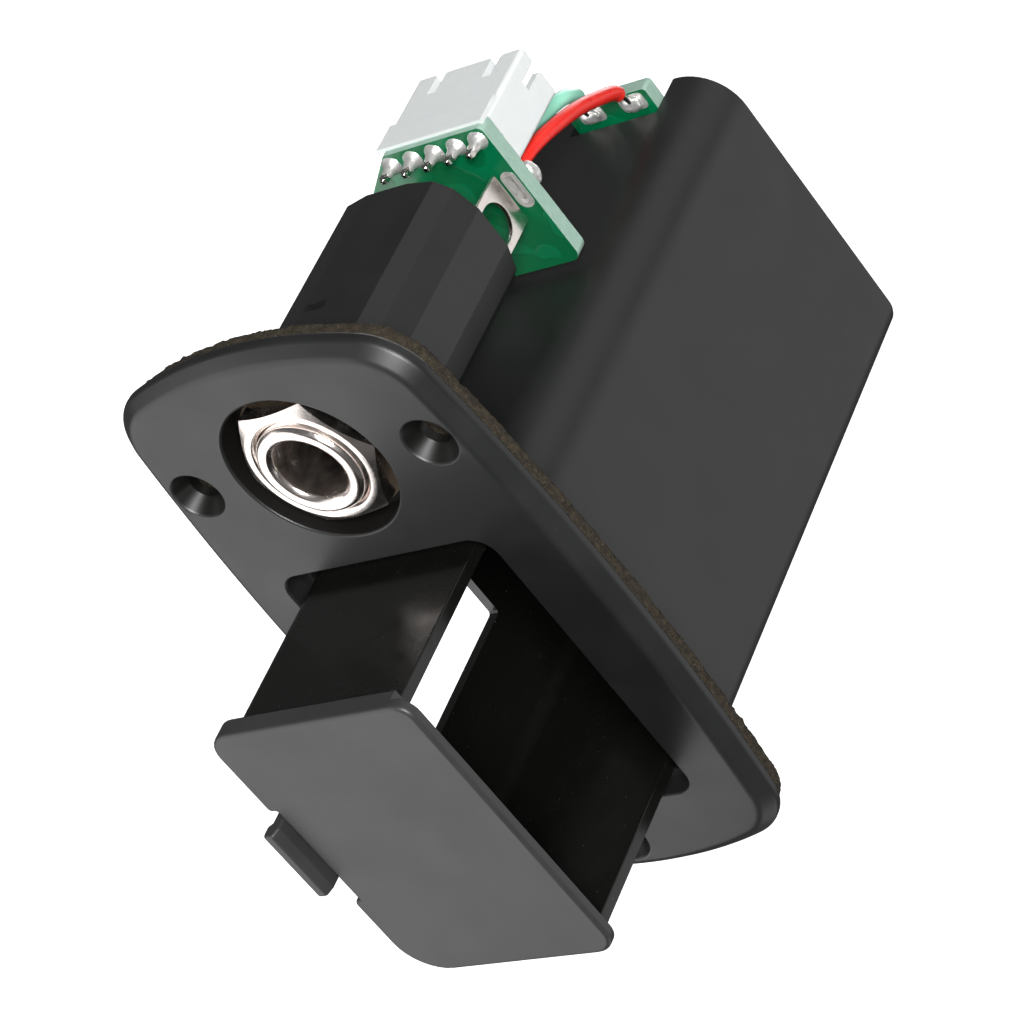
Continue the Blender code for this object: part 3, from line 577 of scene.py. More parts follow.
REBATE_CORNERS = (
    (-9.5 * MM, -12.5 * MM, 2.0 * MM),
    (22.3 * MM, -12.5 * MM, 4.4 * MM),
    (22.3 * MM, 10.7 * MM, 2.0 * MM),
    (-9.5 * MM, 10.7 * MM, 2.1 * MM),
)


def plate_quarter(half_length, inset, steps):
    """A quarter of the plate, from its end's middle to its side's middle: three arcs that meet smoothly."""
    end_radius = END_RADIUS - inset
    side_radius = SIDE_RADIUS - inset
    corner = CORNER_RADIUS - inset
    end_centre = Vector((half_length - END_RADIUS, 0.0))
    side_centre = Vector((0.0, HALF_WIDTH - SIDE_RADIUS))
    apart = end_centre - side_centre
    to_end = end_radius - corner
    to_side = side_radius - corner
    along = (apart.length_squared - to_end**2 + to_side**2) / (2.0 * apart.length)
    across = math.sqrt(to_side**2 - along**2)
    way = apart.normalized()
    middle = side_centre + way * along + Vector((way.y, -way.x)) * across
    end_turn = math.atan2(middle.y, middle.x - end_centre.x)
    side_turn = math.atan2(middle.y - side_centre.y, middle.x)
    points = arc(end_centre.x, 0.0, end_radius, 0.0, end_turn, steps)
    points += arc(middle.x, middle.y, corner, end_turn, side_turn, steps)[1:]
    return points + arc(0.0, side_centre.y, side_radius, side_turn, QUARTER, steps)[1:]


def plate_outline(inset=0.0, steps=14):
    """The plate: bowed sides and ends, rounded corners, and a little longer at the jack's end."""
    far = plate_quarter(FAR_LENGTH, inset, steps)
    near = plate_quarter(NEAR_LENGTH, inset, steps)
    upper = far + [(-x, z) for x, z in reversed(near)][1:]
    return upper + [(x, -z) for x, z in reversed(upper)][1:-1]


def make_plate():
    """The plate's rim runs from its back edge up its side and over a soft 45 degree chamfer."""
    rim = [
        (0.30 * MM, PLATE_BACK),
        (0.0, PLATE_BACK - 0.3 * MM),
        (0.0, PLATE_FRONT + 1.25 * MM),
        (1.22 * MM, PLATE_FRONT),
        (2.2 * MM, PLATE_FRONT),
    ]
    section = soften(rim, 0.42 * MM, 5)
    rings = [[(x, y, z) for x, z in plate_outline(inset)] for inset, y in section]
    return loft("housing_shell", rings)


def make_box_shell():
    """Battery box, drawn in a little towards its back, with a softened back rim."""
    outline = rounded(BOX_CORNERS, 12)
    middle_x, middle_z = BOX_MIDDLE
    depth = BOX_BACK - PLATE_BACK
    section = (
        (0.0, PLATE_BACK - 0.5 * MM),
        (0.0, BOX_BACK - 0.35 * MM),
        (0.1 * MM, BOX_BACK - 0.1 * MM),
        (0.35 * MM, BOX_BACK),
    )
    rings = []
    for inset, y in section:
        scale = 1.0 - BOX_TAPER * (y - PLATE_BACK) / depth
        ring = []
        for x, z in grow(outline, -inset):
            ring.append((middle_x + (x - middle_x) * scale, y, middle_z + (z - middle_z) * scale))
        rings.append(ring)
    return loft("box_shell", rings)


def tube_outline():
    """Section of the jack tube: flat sides with a two-step corner, its ridges just softened."""
    quarter = [(6.5, 2.3), (6.0, 4.9), (4.7, 6.2), (2.15, 7.1)]
    upper = quarter + [(-x, z) for x, z in reversed(quarter)]
    whole = upper + [(-x, -z) for x, z in upper]
    return rounded([(JACK[0] + x * MM, z * MM, 0.25 * MM) for x, z in whole], 3)


def make_housing():
    shell = make_plate()
    collar = prism("collar", circle(*JACK, COLLAR_RADIUS), (PLATE_BACK - 0.6 * MM, 0.3 * MM))
    tube_part = prism("tube", tube_outline(), (PLATE_BACK - 0.5 * MM, TUBE_BACK), high=0.2 * MM)
    join(shell, collar, make_box_shell(), tube_part)
    cut(shell, cutter(circle(*JACK, RECESS_RADIUS), PLATE_FRONT, -0.7 * MM, 0.22 * MM))
    cut(shell, prism("bush_hole", circle(*JACK, BUSH_HOLE), (-2.0 * MM, 2.0 * MM)))
    cut(shell, prism("tube_bore", circle(*JACK, TUBE_BORE), (1.1 * MM, TUBE_BACK + MM)))
    cut(shell, cutter(rounded(REBATE_CORNERS, 10), PLATE_FRONT, -1.7 * MM, 0.25 * MM))
    cut(shell, prism("cavity", rounded(CAVITY_CORNERS, 10), (-2.0 * MM, BOX_BACK + MM)))
    latch_slot = rounded_rectangle(LATCH_SLOT_X, LATCH_SLOT_Z, 0.5 * MM, 5)
    cut(shell, cutter(latch_slot, PLATE_FRONT, LATCH_SLOT_BACK, 0.2 * MM))
    tab_slot = rectangle(TAB_SLOT_X, TAB_SLOT_Z)
    cut(shell, prism("tab_slot", tab_slot, (TAB_SLOT_FRONT, BOX_BACK + 1.5 * MM)))
    for centre in SCREWS:
        cut(shell, turned("screw_cutter", screw_profile(), centre, 48))
    pocket = rectangle((JACK[0] - 7.5 * MM, JACK[0] - 5.9 * MM), (-2.0 * MM, 0.2 * MM))
    cut(shell, prism("pocket", pocket, (8.4 * MM, 9.4 * MM)))
    tidy(shell, 32.0)
    dress(shell, SATIN, "housing", "black_plastic", "housing")
    # The countersinks get a darker copy of the housing's plastic: painted shade in these hollows
    paint_faces(shell, COUNTERSINK_SHADE, in_countersink)
    # The jack recess gets a darker copy of the housing's plastic: painted shade in that hollow
    paint_faces(shell, SHADED, in_recess)


def in_countersink(middle, normal):
    inward = PLATE_FRONT + 0.12 * MM < middle.y < -0.5 * MM
    return inward and any(math.dist((middle.x, middle.z), centre) < 2.5 * MM for centre in SCREWS)


def in_recess(middle, normal):
    inward = PLATE_FRONT + 0.25 * MM < middle.y < -0.6 * MM
    return inward and math.dist((middle.x, middle.z), JACK) < 7.8 * MM


def screw_profile():
    """Countersunk hole with a softened mouth."""
    front = PLATE_FRONT
    return [
        (0.0, front - MM),
        (2.62 * MM, front - MM),
        (2.62 * MM, front - 0.01 * MM),
        (2.47 * MM, front + 0.05 * MM),
        (2.38 * MM, front + 0.18 * MM),
        (1.4 * MM, front + 1.45 * MM),
        (1.4 * MM, MM),
        (0.0, MM),
    ]


def make_gasket():
    """Fibrous foam: its faces and edges are rough, and it fills the space up to the plate's back."""
    body = prism("gasket_foam_piece", plate_outline(0.5 * MM), (PLATE_BACK + 0.02 * MM, -0.02 * MM))
    cut(body, prism("hole", circle(*JACK, 8.75 * MM), (-3.0 * MM, 2.0 * MM)))
    cut(body, prism("hole", grow(rounded(BOX_CORNERS, 10), 0.12 * MM), (-3.5 * MM, 2.5 * MM)))
    gap = 0.3 * MM
    notch_x = (LATCH_SLOT_X[0] - gap, LATCH_SLOT_X[1] + gap)
    notch = rectangle(notch_x, (LATCH_SLOT_Z[0] - gap, LATCH_SLOT_Z[1]))
    cut(body, prism("hole", notch, (-4.0 * MM, 3.0 * MM)))
    for x, z in SCREWS:
        cut(body, prism("hole", circle(x, z, 2.2 * MM, 24), (-4.5 * MM, 3.5 * MM)))
    body.data.transform(Matrix.Scale(1.0 / MM, 4))
    remesh = body.modifiers.new("remesh", "REMESH")
    remesh.mode = "VOXEL"
    remesh.voxel_size = 0.26
    settle(body)
    body.data.transform(Matrix.Scale(MM, 4))
    normals = [vert.normal.copy() for vert in body.data.vertices]
    for vert, normal in zip(body.data.vertices, normals):
        rough = noise.fractal(vert.co / (0.55 * MM), 0.8, 2.0, 3)
        fuzz = noise.noise(vert.co / (0.23 * MM))
        step = normal * (0.085 * rough + 0.05 * fuzz) * MM
        step.y = min(step.y, -vert.co.y) if vert.co.y > -0.2 * MM else step.y
        vert.co += step
    body.data.shade_smooth()
    dress(body, FOAM, "housing", "foam", "gasket")


# ---------------------------------------------------------------- jack


NUT_FLATS = 12.0 * MM
NUT_TURN = math.radians(32.0)
THREAD_PITCH = 0.79 * MM


def make_nut_washer():
    low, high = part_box("nut_washer")
    radius = (high.x - low.x) / 2.0
    edge = 0.08 * MM
    profile = [(radius - edge, low.y), (radius, low.y + edge), (radius, high.y)]
    profile += [(BUSH_HOLE, high.y), (BUSH_HOLE, low.y)]
    washer = tidy(turned("fibre_washer", profile, JACK, 96))
    dress(washer, FIBRE, "housing", "fibre", "nut_washer")


def make_jack_nut():
    """Hexagon with softened corners under a turned crown, whose cone scallops the flats."""
    low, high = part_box("jack_nut")
    corner = NUT_FLATS / math.sqrt(3.0)
    hexagon = arc(*JACK, corner, NUT_TURN, NUT_TURN + math.tau, 6)[:-1]
    nut = prism("hex_nut", rounded([(x, z, 0.22 * MM) for x, z in hexagon], 5), (low.y, high.y))
    shoulder = low.y + 0.62 * MM
    crown = soften([
        (BUSH_HOLE, low.y + 0.35 * MM),
        (BUSH_HOLE + 0.3 * MM, low.y),
        (5.75 * MM, low.y),
        (corner, shoulder),
        (corner + MM, shoulder),
    ], 0.12 * MM, 3)
    crown += [(corner + MM, high.y + MM), (BUSH_HOLE, high.y + MM)]
    combine(nut, [turned("crown", crown, JACK, 144)], "INTERSECT")
    tidy(nut, 24.0)
    dress(nut, NICKEL, "housing", "nickel", "jack_nut")


def make_jack_bushing():
    """Threaded bushing: a rolled rim, a few ridges of thread by the nut, and a smooth bore."""
    low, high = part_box("jack_bushing")
    outer = 4.75 * MM
    bore = 3.25 * MM
    groove = outer - 0.32 * MM
    rim = soften([
        (bore, low.y + 1.2 * MM),
        (bore, low.y + 0.42 * MM),
        (bore + 0.4 * MM, low.y + 0.03 * MM),
        (groove, low.y),
        (outer, low.y + 0.4 * MM),
        (outer, low.y + 0.62 * MM),
    ], 0.18 * MM, 4)
    thread = []
    start = low.y + 0.66 * MM
    for i in range(6):
        y = start + i * THREAD_PITCH
        thread.append((groove, y + 0.25 * THREAD_PITCH))
        thread.append((outer, y + 0.55 * THREAD_PITCH))
        thread.append((outer, y + 0.75 * THREAD_PITCH))
    shoulder = 1.4 * MM
    flange = 5.5 * MM
    neck = 4.3 * MM
    back = [
        (outer, shoulder),
        (flange, shoulder),
        (flange, shoulder + MM),
        (neck, shoulder + MM),
        (neck, high.y),
        (bore, high.y),
    ]
    profile = rim + [p for p in thread if p[1] < shoulder - 0.1 * MM] + back
    bushing = tidy(turned("threaded_bushing", profile, JACK, 96), 30.0)
    dress(bushing, NICKEL, "housing", "nickel", "jack_bushing")


def make_sleeve_terminal():
    low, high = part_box("sleeve_terminal")
    leg = 0.75 * MM
    radius = (high.x - low.x) / 2.0 - leg
    middle = (low.x + high.x) / 2.0
    arch_y = 24.3 * MM
    outline = [(low.x, high.y), (low.x, low.y), (middle - radius, low.y)]
    outline += arc(middle, arch_y, radius, math.pi, 0.0, 28)
    outline += [(middle + radius, low.y), (high.x, low.y), (high.x, high.y)]
    plate = prism("arch_terminal", outline, (low.z, high.z), "Z")
    bevel = plate.modifiers.new("bevel", "BEVEL")
    bevel.width = 0.07 * MM
    bevel.segments = 2
    bevel.limit_method = "ANGLE"
    bevel.angle_limit = math.radians(50.0)
    settle(plate)
    tidy(plate)
    dress(plate, NICKEL, "housing", "nickel", "sleeve_terminal")


# ---------------------------------------------------------------- jack board, header, pins

PIN_X = -25.4 * MM
PIN_HEIGHTS = [(1.85 + (i - 2) * 2.45) * MM for i in range(5)]
BOARD_SLOT_X = (-21.3 * MM, -18.0 * MM)
BOARD_SLOT_Z = (6.45 * MM, 7.35 * MM)
BOARD_CORNERS = (
    (-23.3 * MM, -6.9 * MM, 0.3 * MM),
    (-11.1 * MM, -6.9 * MM, 1.0 * MM),
    (-11.1 * MM, 7.9 * MM, 1.0 * MM),
    (-26.6 * MM, 7.9 * MM, 0.6 * MM),
    (-26.6 * MM, -3.2 * MM, 0.3 * MM),
)


def slot_outline(amount=0.0):
    """The board's slot, round at both ends and larger by amount all round."""
    radius = (BOARD_SLOT_Z[1] - BOARD_SLOT_Z[0]) / 2.0
    middle = (BOARD_SLOT_Z[0] + BOARD_SLOT_Z[1]) / 2.0
    right = arc(BOARD_SLOT_X[1] - radius, middle, radius + amount, -QUARTER, QUARTER, 12)
    left = arc(BOARD_SLOT_X[0] + radius, middle, radius + amount, QUARTER, 3.0 * QUARTER, 12)
    return right + left


def make_jack_pcb():
    """The board with its pin holes, and the plating that lines its slot and rings it on both faces."""
    low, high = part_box("jack_pcb")
    span = (low.y, high.y)
    board = prism("jack_board", rounded(BOARD_CORNERS, 8), span, low=0.06 * MM, high=0.06 * MM, steps=2)
    deep = (low.y - MM, high.y + MM)
    cut(board, prism("slot", slot_outline(), deep))
    for z in PIN_HEIGHTS:
        cut(board, prism("hole", circle(PIN_X, z, 0.5 * MM, 24), deep))
    tidy(board, 35.0)
    dress(board, MASK, "housing", "board_green", "jack_pcb")
    paint_faces(board, BOARD_EDGE, lambda middle, normal: abs(normal.y) < 0.8)
    plating = 0.05 * MM
    lands = []
    for land_span in ((low.y - plating, low.y), (high.y, high.y + plating)):
        land = prism("slot_land", slot_outline(0.38 * MM), land_span)
        cut(land, prism("slot", slot_outline(), deep))
        lands.append(land)
    lining = prism("slot_lining", slot_outline(-0.01 * MM), (low.y - plating, high.y + plating))
    cut(lining, prism("slot", slot_outline(-0.09 * MM), deep))
    plated = join(*lands, lining)
    plated.name = "slot_plating"
    tidy(plated)
    dress(plated, SOLDER, "housing", "solder")


def make_header():
    """An open-topped shell with a skirt along the board's edge and key slots in its walls."""
    low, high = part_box("header_shell")
    wall = 0.7 * MM
    outline = rounded_rectangle((low.x, high.x), (low.z, high.z), 0.45 * MM, 4)
    shell = prism("header_housing", outline, (low.y - 0.25 * MM, high.y), high=0.18 * MM, steps=3)
    skirt = rectangle((low.x - 0.3 * MM, low.x + 0.2 * MM), (low.z + 0.1 * MM, high.z - 0.1 * MM))
    join(shell, prism("skirt", skirt, (low.y - 1.25 * MM, low.y + 2.0 * MM)))
    inner_x = (low.x + wall, high.x - wall)
    inner_z = (low.z + wall, high.z - wall)
    inside = rounded_rectangle(inner_x, inner_z, 0.25 * MM, 3)
    cut(shell, cutter(inside, high.y, low.y + 1.5 * MM, 0.12 * MM))
    length = high.z - low.z
    depth = high.y - 2.7 * MM
    for share in (0.24, 0.76):
        z = low.z + share * length
        cut(shell, slot_cutter(low.x - MM, low.x + 1.4 * MM, z, depth, high.y, "X"))
    cut(shell, slot_cutter(high.z - 1.5 * MM, high.z + MM, low.x + 2.1 * MM, depth, high.y, "Z"))
    for z in PIN_HEIGHTS:
        hole = rectangle((PIN_X - 0.4 * MM, PIN_X + 0.4 * MM), (z - 0.4 * MM, z + 0.4 * MM))
        cut(shell, prism("hole", hole, (low.y - 2.0 * MM, high.y)))
    tidy(shell, 30.0)
    dress(shell, NYLON, "housing", "nylon_white", "header_shell")


def slot_cutter(first, last, middle, depth, top, axis):
    """A V-mouthed slot cutter through a header wall, running along X or Z."""
    half = 0.5 * MM
    flare = 0.35 * MM
    over = 0.3 * MM
    mouth = half + flare + over
    outline = [
        (middle - half, depth),
        (middle + half, depth),
        (middle + half, top - flare),
        (middle + mouth, top + over),
        (middle - mouth, top + over),
        (middle - half, top - flare),
    ]
    if axis == "X":
        rings = [[(x, y, z) for z, y in outline] for x in (first, last)]
    else:
        rings = [[(x, y, z) for x, y in outline] for z in (first, last)]
    return loft("slot_cutter", rings)


def make_pin(number, z):
    """A square pin, tapered at both ends, that stands out of the board."""
    low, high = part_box(f"header_pin_{number}")
    half = (high.x - low.x) / 2.0
    outline = rounded_rectangle((PIN_X - half, PIN_X + half), (z - half, z + half), 0.06 * MM, 2)
    section = (
        (-0.2 * MM, low.y),
        (0.0, low.y + 0.3 * MM),
        (0.0, high.y - 0.5 * MM),
        (-0.22 * MM, high.y),
    )
    pin = loft(f"pin_{number}", [[(a, y, b) for a, b in grow(outline, wider)] for wider, y in section])
    tidy(pin)
    dress(pin, TINNED, "housing", "tinned", f"header_pin_{number}")


def make_solder_cone(number, z):
    """The cone of solder round a pin, pushed a little out of round."""
    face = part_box(f"solder_joint_{number}")[1].y
    core = 0.34 * MM
    profile = [
        (core, face - 1.35 * MM),
        (0.46 * MM, face - 1.1 * MM),
        (0.50 * MM, face - 0.75 * MM),
        (0.60 * MM, face - 0.4 * MM),
        (0.80 * MM, face - 0.12 * MM),
        (0.98 * MM, face + 0.09 * MM),
        (core, face + 0.09 * MM),
    ]
    cone = turned(f"solder_cone_{number}", profile, (PIN_X, z), 32)
    offset = Vector(((number - 1) * 5.0, 0.0, 0.0))
    for vert in cone.data.vertices:
        wobble = noise.noise_vector(vert.co / (0.8 * MM) + offset)
        vert.co += Vector((wobble.x, 0.0, wobble.z)) * 0.07 * MM
    tidy(cone, 60.0)
    dress(cone, SOLDER, "housing", "solder", f"solder_joint_{number}")


def blob(name, centre, radii, seed, node):
    """A lump of solder: a ball pulled to three radii and roughened."""
    mesh = bpy.data.meshes.new(name)
    edit = bmesh.new()
    bmesh.ops.create_uvsphere(edit, u_segments=32, v_segments=20, radius=1.0)
    for vert in edit.verts:
        swell = 1.0 + 0.12 * noise.noise(vert.co * 1.7 + Vector((seed, 0.0, 0.0)))
        vert.co = Vector((vert.co.x * radii[0], vert.co.y * radii[1], vert.co.z * radii[2])) * swell
        vert.co += Vector(centre)
    edit.to_mesh(mesh)
    edit.free()
    lump = make_object(name, mesh)
    mesh.shade_smooth()
    dress(lump, SOLDER, "housing", "solder", node)


# ---------------------------------------------------------------- contact board and wires

TAB_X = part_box("contact_board")[0].x
TAB_Z = (-3.2 * MM, 6.2 * MM)
PAD_X = -11.1 * MM
PAD_Y = 49.2 * MM
PAD_HEIGHTS = (4.2 * MM, -0.6 * MM)
PAD_DROP = (0.85 * MM, 0.5 * MM, 1.1 * MM)
TERMINAL = (-19.5 * MM, 30.1 * MM, 7.3 * MM)
TERMINAL_DROP = (1.25 * MM, 0.75 * MM, 0.85 * MM)


def make_contact_board():
    """The board closes the box's back a small gap inside its walls, and its tab carries two wire pads."""
    low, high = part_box("contact_board")
    gap = 0.3 * MM
    corners = []
    for x, z, radius in CAVITY_CORNERS:
        corners.append((x - math.copysign(gap, x), z - math.copysign(gap, z), radius))
    span = (low.y, high.y)
    board = prism("battery_board", rounded(corners, 8), span, low=0.05 * MM, high=0.05 * MM, steps=2)
    tab = rounded_rectangle((TAB_X, -7.0 * MM), TAB_Z, 0.4 * MM, 4)
    join(board, prism("tab", tab, span, low=0.05 * MM, high=0.05 * MM, steps=2))
    tidy(board, 35.0)
    dress(board, MASK, "housing", "board_green", "contact_board")
    paint_faces(board, BOARD_EDGE, lambda middle, normal: abs(normal.y) < 0.8)
    for i, z in enumerate(PAD_HEIGHTS):
        pad_x = (PAD_X - 0.9 * MM, PAD_X + 0.9 * MM)
        outline = rounded_rectangle(pad_x, (z - 1.4 * MM, z + 1.4 * MM), 0.5 * MM, 5)
        pad = prism(f"wire_pad_{i + 1}", outline, (low.y - 0.05 * MM, low.y + 0.02 * MM))
        tidy(pad)
        dress(pad, SOLDER, "housing", "solder")


# Millimetres, from the jack board to just short of the tab
RED_ROUTE = (
    (-19.6, 30.3, 5.2),
    (-19.8, 33.2, 6.1),
    (-18.7, 37.5, 6.2),
    (-16.9, 42.0, 5.7),
    (-14.4, 46.6, 5.2),
    (-13.5, 47.6, 5.0),
)
GREEN_ROUTE = (
    (-19.6, 30.3, 1.4),
    (-19.8, 34.0, 2.5),
    (-18.7, 39.0, 3.2),
    (-17.3, 43.5, 3.1),
    (-15.2, 46.6, 1.8),
    (-13.5, 47.9, 0.2),
)


def make_wire(name, route, material, slot, node, pad_z):
    """Insulated wire whose bare, tinned end bends down into its drop of solder."""
    points = smooth_route(route)
    insulation = tube(name, points, 0.7 * MM)
    tidy(insulation, 50.0)
    dress(insulation, material, "housing", slot, node)
    end = points[-1]
    along = (points[-1] - points[-2]).normalized()
    pad = Vector((PAD_X, PAD_Y, pad_z))
    bare = [end - along * 0.5 * MM, end + along * 0.4 * MM, (end + pad) / 2.0 + along * 0.4 * MM, pad]
    core = tube(name + "_core", smooth_route([p / MM for p in bare], 6), 0.28 * MM, resolution=5)
    tidy(core, 50.0)
    dress(core, TINNED, "housing", "tinned")


# ---------------------------------------------------------------- drawer and latch

TRAY_X = (-8.3 * MM, 21.1 * MM)
TRAY_Z = (-10.3 * MM, 8.4 * MM)
TRAY_WALL = 1.2 * MM
TRAY_INSIDE_X = (TRAY_X[0] + TRAY_WALL, TRAY_X[1] - TRAY_WALL)
TRAY_FLOOR_TOP = TRAY_Z[0] + 1.0 * MM
WINDOW_X = (0.5 * MM, 10.6 * MM)
WINDOW_Y = (-5.1 * MM, 9.95 * MM)
PANEL_THICKNESS = 2.0 * MM
PANEL_SKIN = 1.0 * MM
NOTCH_X = (0.3 * MM, 12.1 * MM)
NOTCH_TOP = -11.3 * MM


def panel_outline():
    """The drawer's front: one large corner, three small ones, and the latch's notch in its lower edge."""
    low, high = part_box("drawer_tray")
    return rounded([
        (low.x, low.z, 2.4 * MM),
        (NOTCH_X[0], low.z, 0.5 * MM),
        (NOTCH_X[0], NOTCH_TOP, 0.2 * MM),
        (NOTCH_X[1], NOTCH_TOP, 0.2 * MM),
        (NOTCH_X[1], low.z, 0.5 * MM),
        (high.x, low.z, 4.1 * MM),
        (high.x, high.z, 2.4 * MM),
        (low.x, high.z, 1.7 * MM),
    ], 8)


def tray_outline():
    """The tray seen from its front: two side walls and a floor, open above, with softened edges."""
    soft = 0.15 * MM
    return rounded([
        (TRAY_X[0], TRAY_Z[0], 1.2 * MM),
        (TRAY_X[1], TRAY_Z[0], 3.2 * MM),
        (TRAY_X[1], TRAY_Z[1], soft),
        (TRAY_INSIDE_X[1], TRAY_Z[1], soft),
        (TRAY_INSIDE_X[1], TRAY_FLOOR_TOP, 1.2 * MM),
        (TRAY_INSIDE_X[0], TRAY_FLOOR_TOP, 0.3 * MM),
        (TRAY_INSIDE_X[0], TRAY_Z[1], soft),
        (TRAY_X[0], TRAY_Z[1], soft),
    ], 6)


def make_drawer():
    """The panel is thick beside and below the tray. Between the tray's walls and above them it is a skin."""
    low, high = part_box("drawer_tray")
    panel_back = low.y + PANEL_THICKNESS
    span = (low.y, panel_back)
    panel = prism("drawer_panel", panel_outline(), span, low=0.42 * MM, high=0.12 * MM, steps=5)
    relief = rounded_rectangle(TRAY_INSIDE_X, (TRAY_FLOOR_TOP, high.z + 2.0 * MM), 0.3 * MM, 4)
    cut(panel, prism("relief", relief, (low.y + PANEL_SKIN, panel_back + MM)))
    above = rectangle((low.x - MM, high.x + MM), (TRAY_Z[1] + 0.05 * MM, high.z + 3.0 * MM))
    cut(panel, prism("above_tray", above, (low.y + PANEL_SKIN, panel_back + 2.0 * MM)))
    tidy(panel, 35.0)
    shell = prism("drawer_body", tray_outline(), (panel_back - 0.05 * MM, high.y), high=0.1 * MM, steps=3)
    overlap = 0.4 * MM
    lip_x = (TRAY_INSIDE_X[0] - overlap, TRAY_INSIDE_X[1] + overlap)
    lip = rectangle(lip_x, (TRAY_FLOOR_TOP - overlap, -7.5 * MM))
    join(shell, prism("rear_lip", lip, (high.y - TRAY_WALL, high.y - 0.05 * MM)))
    window = rounded_rectangle(WINDOW_X, WINDOW_Y, 0.35 * MM, 4)
    cut(shell, prism("window", window, (TRAY_Z[0] - MM, TRAY_FLOOR_TOP + MM), "Z"))
    tidy(shell, 35.0)
    dress(panel, PANEL, "drawer", "black_plastic", "drawer_tray")
    dress(shell, POLISHED, "drawer", "black_plastic", "drawer_tray")


def make_latch():
    """Latch finger with a rolled lip at its tip and a ramped barb beneath."""
    low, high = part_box("latch_finger")
    arm_low = -13.0 * MM
    arm_top = -11.9 * MM
    outline = rounded([
        (low.y, -13.4 * MM, 0.45 * MM),
        (low.y + 1.25 * MM, -13.4 * MM, 0.3 * MM),
        (low.y + 1.6 * MM, arm_low, 0.2 * MM),
        (low.y + 6.15 * MM, arm_low, 0.2 * MM),
        (low.y + 7.35 * MM, low.z, 0.12 * MM),
        (low.y + 7.75 * MM, low.z, 0.12 * MM),
        (low.y + 7.75 * MM, arm_low, 0.1 * MM),
        (high.y, arm_low, 0.2 * MM),
        (high.y, high.z, 0.2 * MM),
        (high.y - 2.0 * MM, high.z, 0.2 * MM),
        (high.y - 2.8 * MM, arm_top, 0.3 * MM),
        (low.y + 0.9 * MM, arm_top, 0.3 * MM),
        (low.y, arm_top - 0.35 * MM, 0.3 * MM),
    ], 4)
    finger = prism("latch_lever", outline, (low.x, high.x), "X", low=0.25 * MM, high=0.25 * MM)
    tidy(finger, 40.0)
    dress(finger, PANEL, "latch", "black_plastic", "latch_finger")


# ---------------------------------------------------------------- build the pieces

make_housing()
make_gasket()
make_nut_washer()
make_jack_nut()
make_jack_bushing()
make_sleeve_terminal()
make_jack_pcb()
make_header()
for i, height in enumerate(PIN_HEIGHTS):
    make_pin(i + 1, height)
    make_solder_cone(i + 1, height)
make_contact_board()
make_wire("red_lead", RED_ROUTE, RED, "wire_red", "red_wire", PAD_HEIGHTS[0])
make_wire("green_lead", GREEN_ROUTE, MINT, "wire_green", "green_wire", PAD_HEIGHTS[1])
blob("terminal_drop", TERMINAL, TERMINAL_DROP, 1.0, "terminal_solder")
blob("red_drop", (PAD_X, PAD_Y, PAD_HEIGHTS[0]), PAD_DROP, 2.0, "pad_solder_red")
blob("green_drop", (PAD_X, PAD_Y, PAD_HEIGHTS[1]), PAD_DROP, 3.0, "pad_solder_green")
make_drawer()
make_latch()

for node, material in (
    ("jack_body", INSULATOR),
    ("tip_contact", BRASS),
    ("ring_contact", BRASS),
    ("battery_contact_pos", NICKEL),
    ("battery_contact_neg", NICKEL),
):
    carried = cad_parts[node]
    carried.data.materials.clear()
    carried.data.materials.append(material)


# ---------------------------------------------------------------- stage, lights and camera


FLOOR_DEPTH = 0.75
FLOOR_RADIUS = 6.0
DOME_RADIUS = 5.5
AMBIENT = 0.09
LENS = 131.77
SHIFT = (-0.00608, 0.03891)
EYE = (-0.1556, -0.1788, 0.2048)
EYE_RIGHT = (0.5582, 0.3518, 0.7514)
EYE_UP = (-0.6655, 0.7307, 0.1523)


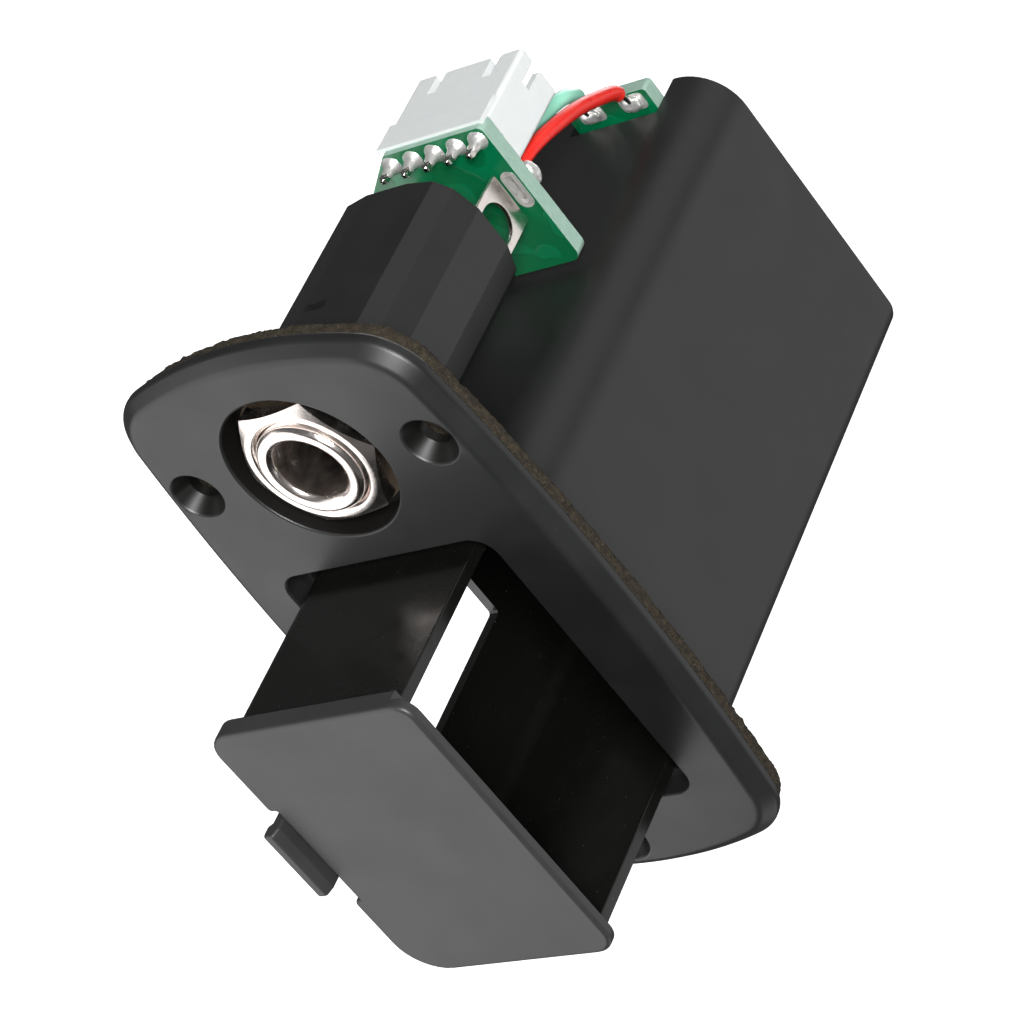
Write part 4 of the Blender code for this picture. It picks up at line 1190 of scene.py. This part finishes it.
def make_stage():
    """A pale floor far below and a pale dome. Neither throws light on the black plastic."""
    look = Shader("pale_floor", (0.9, 0.9, 0.9), 0.9)
    look.shader.inputs["Emission Color"].default_value = (1.0, 1.0, 1.0, 1.0)
    look.shader.inputs["Emission Strength"].default_value = 1.0
    floor_mesh = bpy.data.meshes.new("floor")
    edit = bmesh.new()
    bmesh.ops.create_circle(edit, cap_ends=True, radius=FLOOR_RADIUS, segments=96)
    edit.to_mesh(floor_mesh)
    edit.free()
    floor = make_object("floor", floor_mesh)
    floor.location.z = -FLOOR_DEPTH
    dome_mesh = bpy.data.meshes.new("backdrop")
    edit = bmesh.new()
    bmesh.ops.create_uvsphere(edit, u_segments=48, v_segments=24, radius=DOME_RADIUS)
    edit.to_mesh(dome_mesh)
    edit.free()
    dome = make_object("backdrop", dome_mesh)
    for obj in (floor, dome):
        obj.data.materials.append(look.material)
        obj.visible_diffuse = False
        obj.visible_glossy = False
        obj.visible_transmission = False
        obj.visible_shadow = False


def softbox(name, direction, distance, size, power):
    """A white rectangular light that faces the object from a direction."""
    light = bpy.data.lights.new(name, "AREA")
    light.shape = "RECTANGLE"
    light.size = size[0]
    light.size_y = size[1]
    light.energy = power
    obj = make_object(name, light)
    way = Vector(direction).normalized()
    obj.location = way * distance
    obj.rotation_mode = "QUATERNION"
    obj.rotation_quaternion = way.to_track_quat("Z", "Y")
    obj.visible_camera = False


def make_lights():
    softbox("key", (-0.52, -0.55, 0.66), 0.95, (0.30, 0.30), 15.0)
    softbox("front_low", (-0.02, -0.62, -0.64), 0.62, (1.10, 0.62), 3.9)
    softbox("rear_high", (0.50, 0.58, 0.64), 0.80, (0.70, 0.70), 1.15)
    softbox("rear_left", (-0.45, 0.70, 0.55), 1.00, (0.80, 0.80), 1.4)
    softbox("right_side", (0.95, -0.10, 0.10), 0.90, (0.50, 0.50), 0.7)
    softbox("rear", (0.05, 0.93, -0.25), 1.00, (0.50, 0.50), 3.0)
    world = bpy.data.worlds.new("studio")
    bpy.context.scene.world = world
    world.use_nodes = True
    background = world.node_tree.nodes["Background"]
    background.inputs["Color"].default_value = (1.0, 1.0, 1.0, 1.0)
    background.inputs["Strength"].default_value = AMBIENT


def make_camera():
    """Looks down on the plate's front from the jack's end, rolled so that the box rises to the right."""
    data = bpy.data.cameras.new("camera")
    data.sensor_width = 36.0
    data.lens = LENS
    data.shift_x = SHIFT[0]
    data.shift_y = SHIFT[1]
    data.clip_start = 0.01
    data.clip_end = 30.0
    camera = make_object("camera", data)
    right = Vector(EYE_RIGHT).normalized()
    back = right.cross(Vector(EYE_UP)).normalized()
    up = back.cross(right).normalized()
    turn = Matrix((right, up, back)).transposed().to_4x4()
    camera.matrix_world = Matrix.Translation(EYE) @ turn
    bpy.context.scene.camera = camera


make_stage()
make_lights()
make_camera()
bpy.context.scene.view_settings.view_transform = "Standard"
bpy.context.view_layer.update()
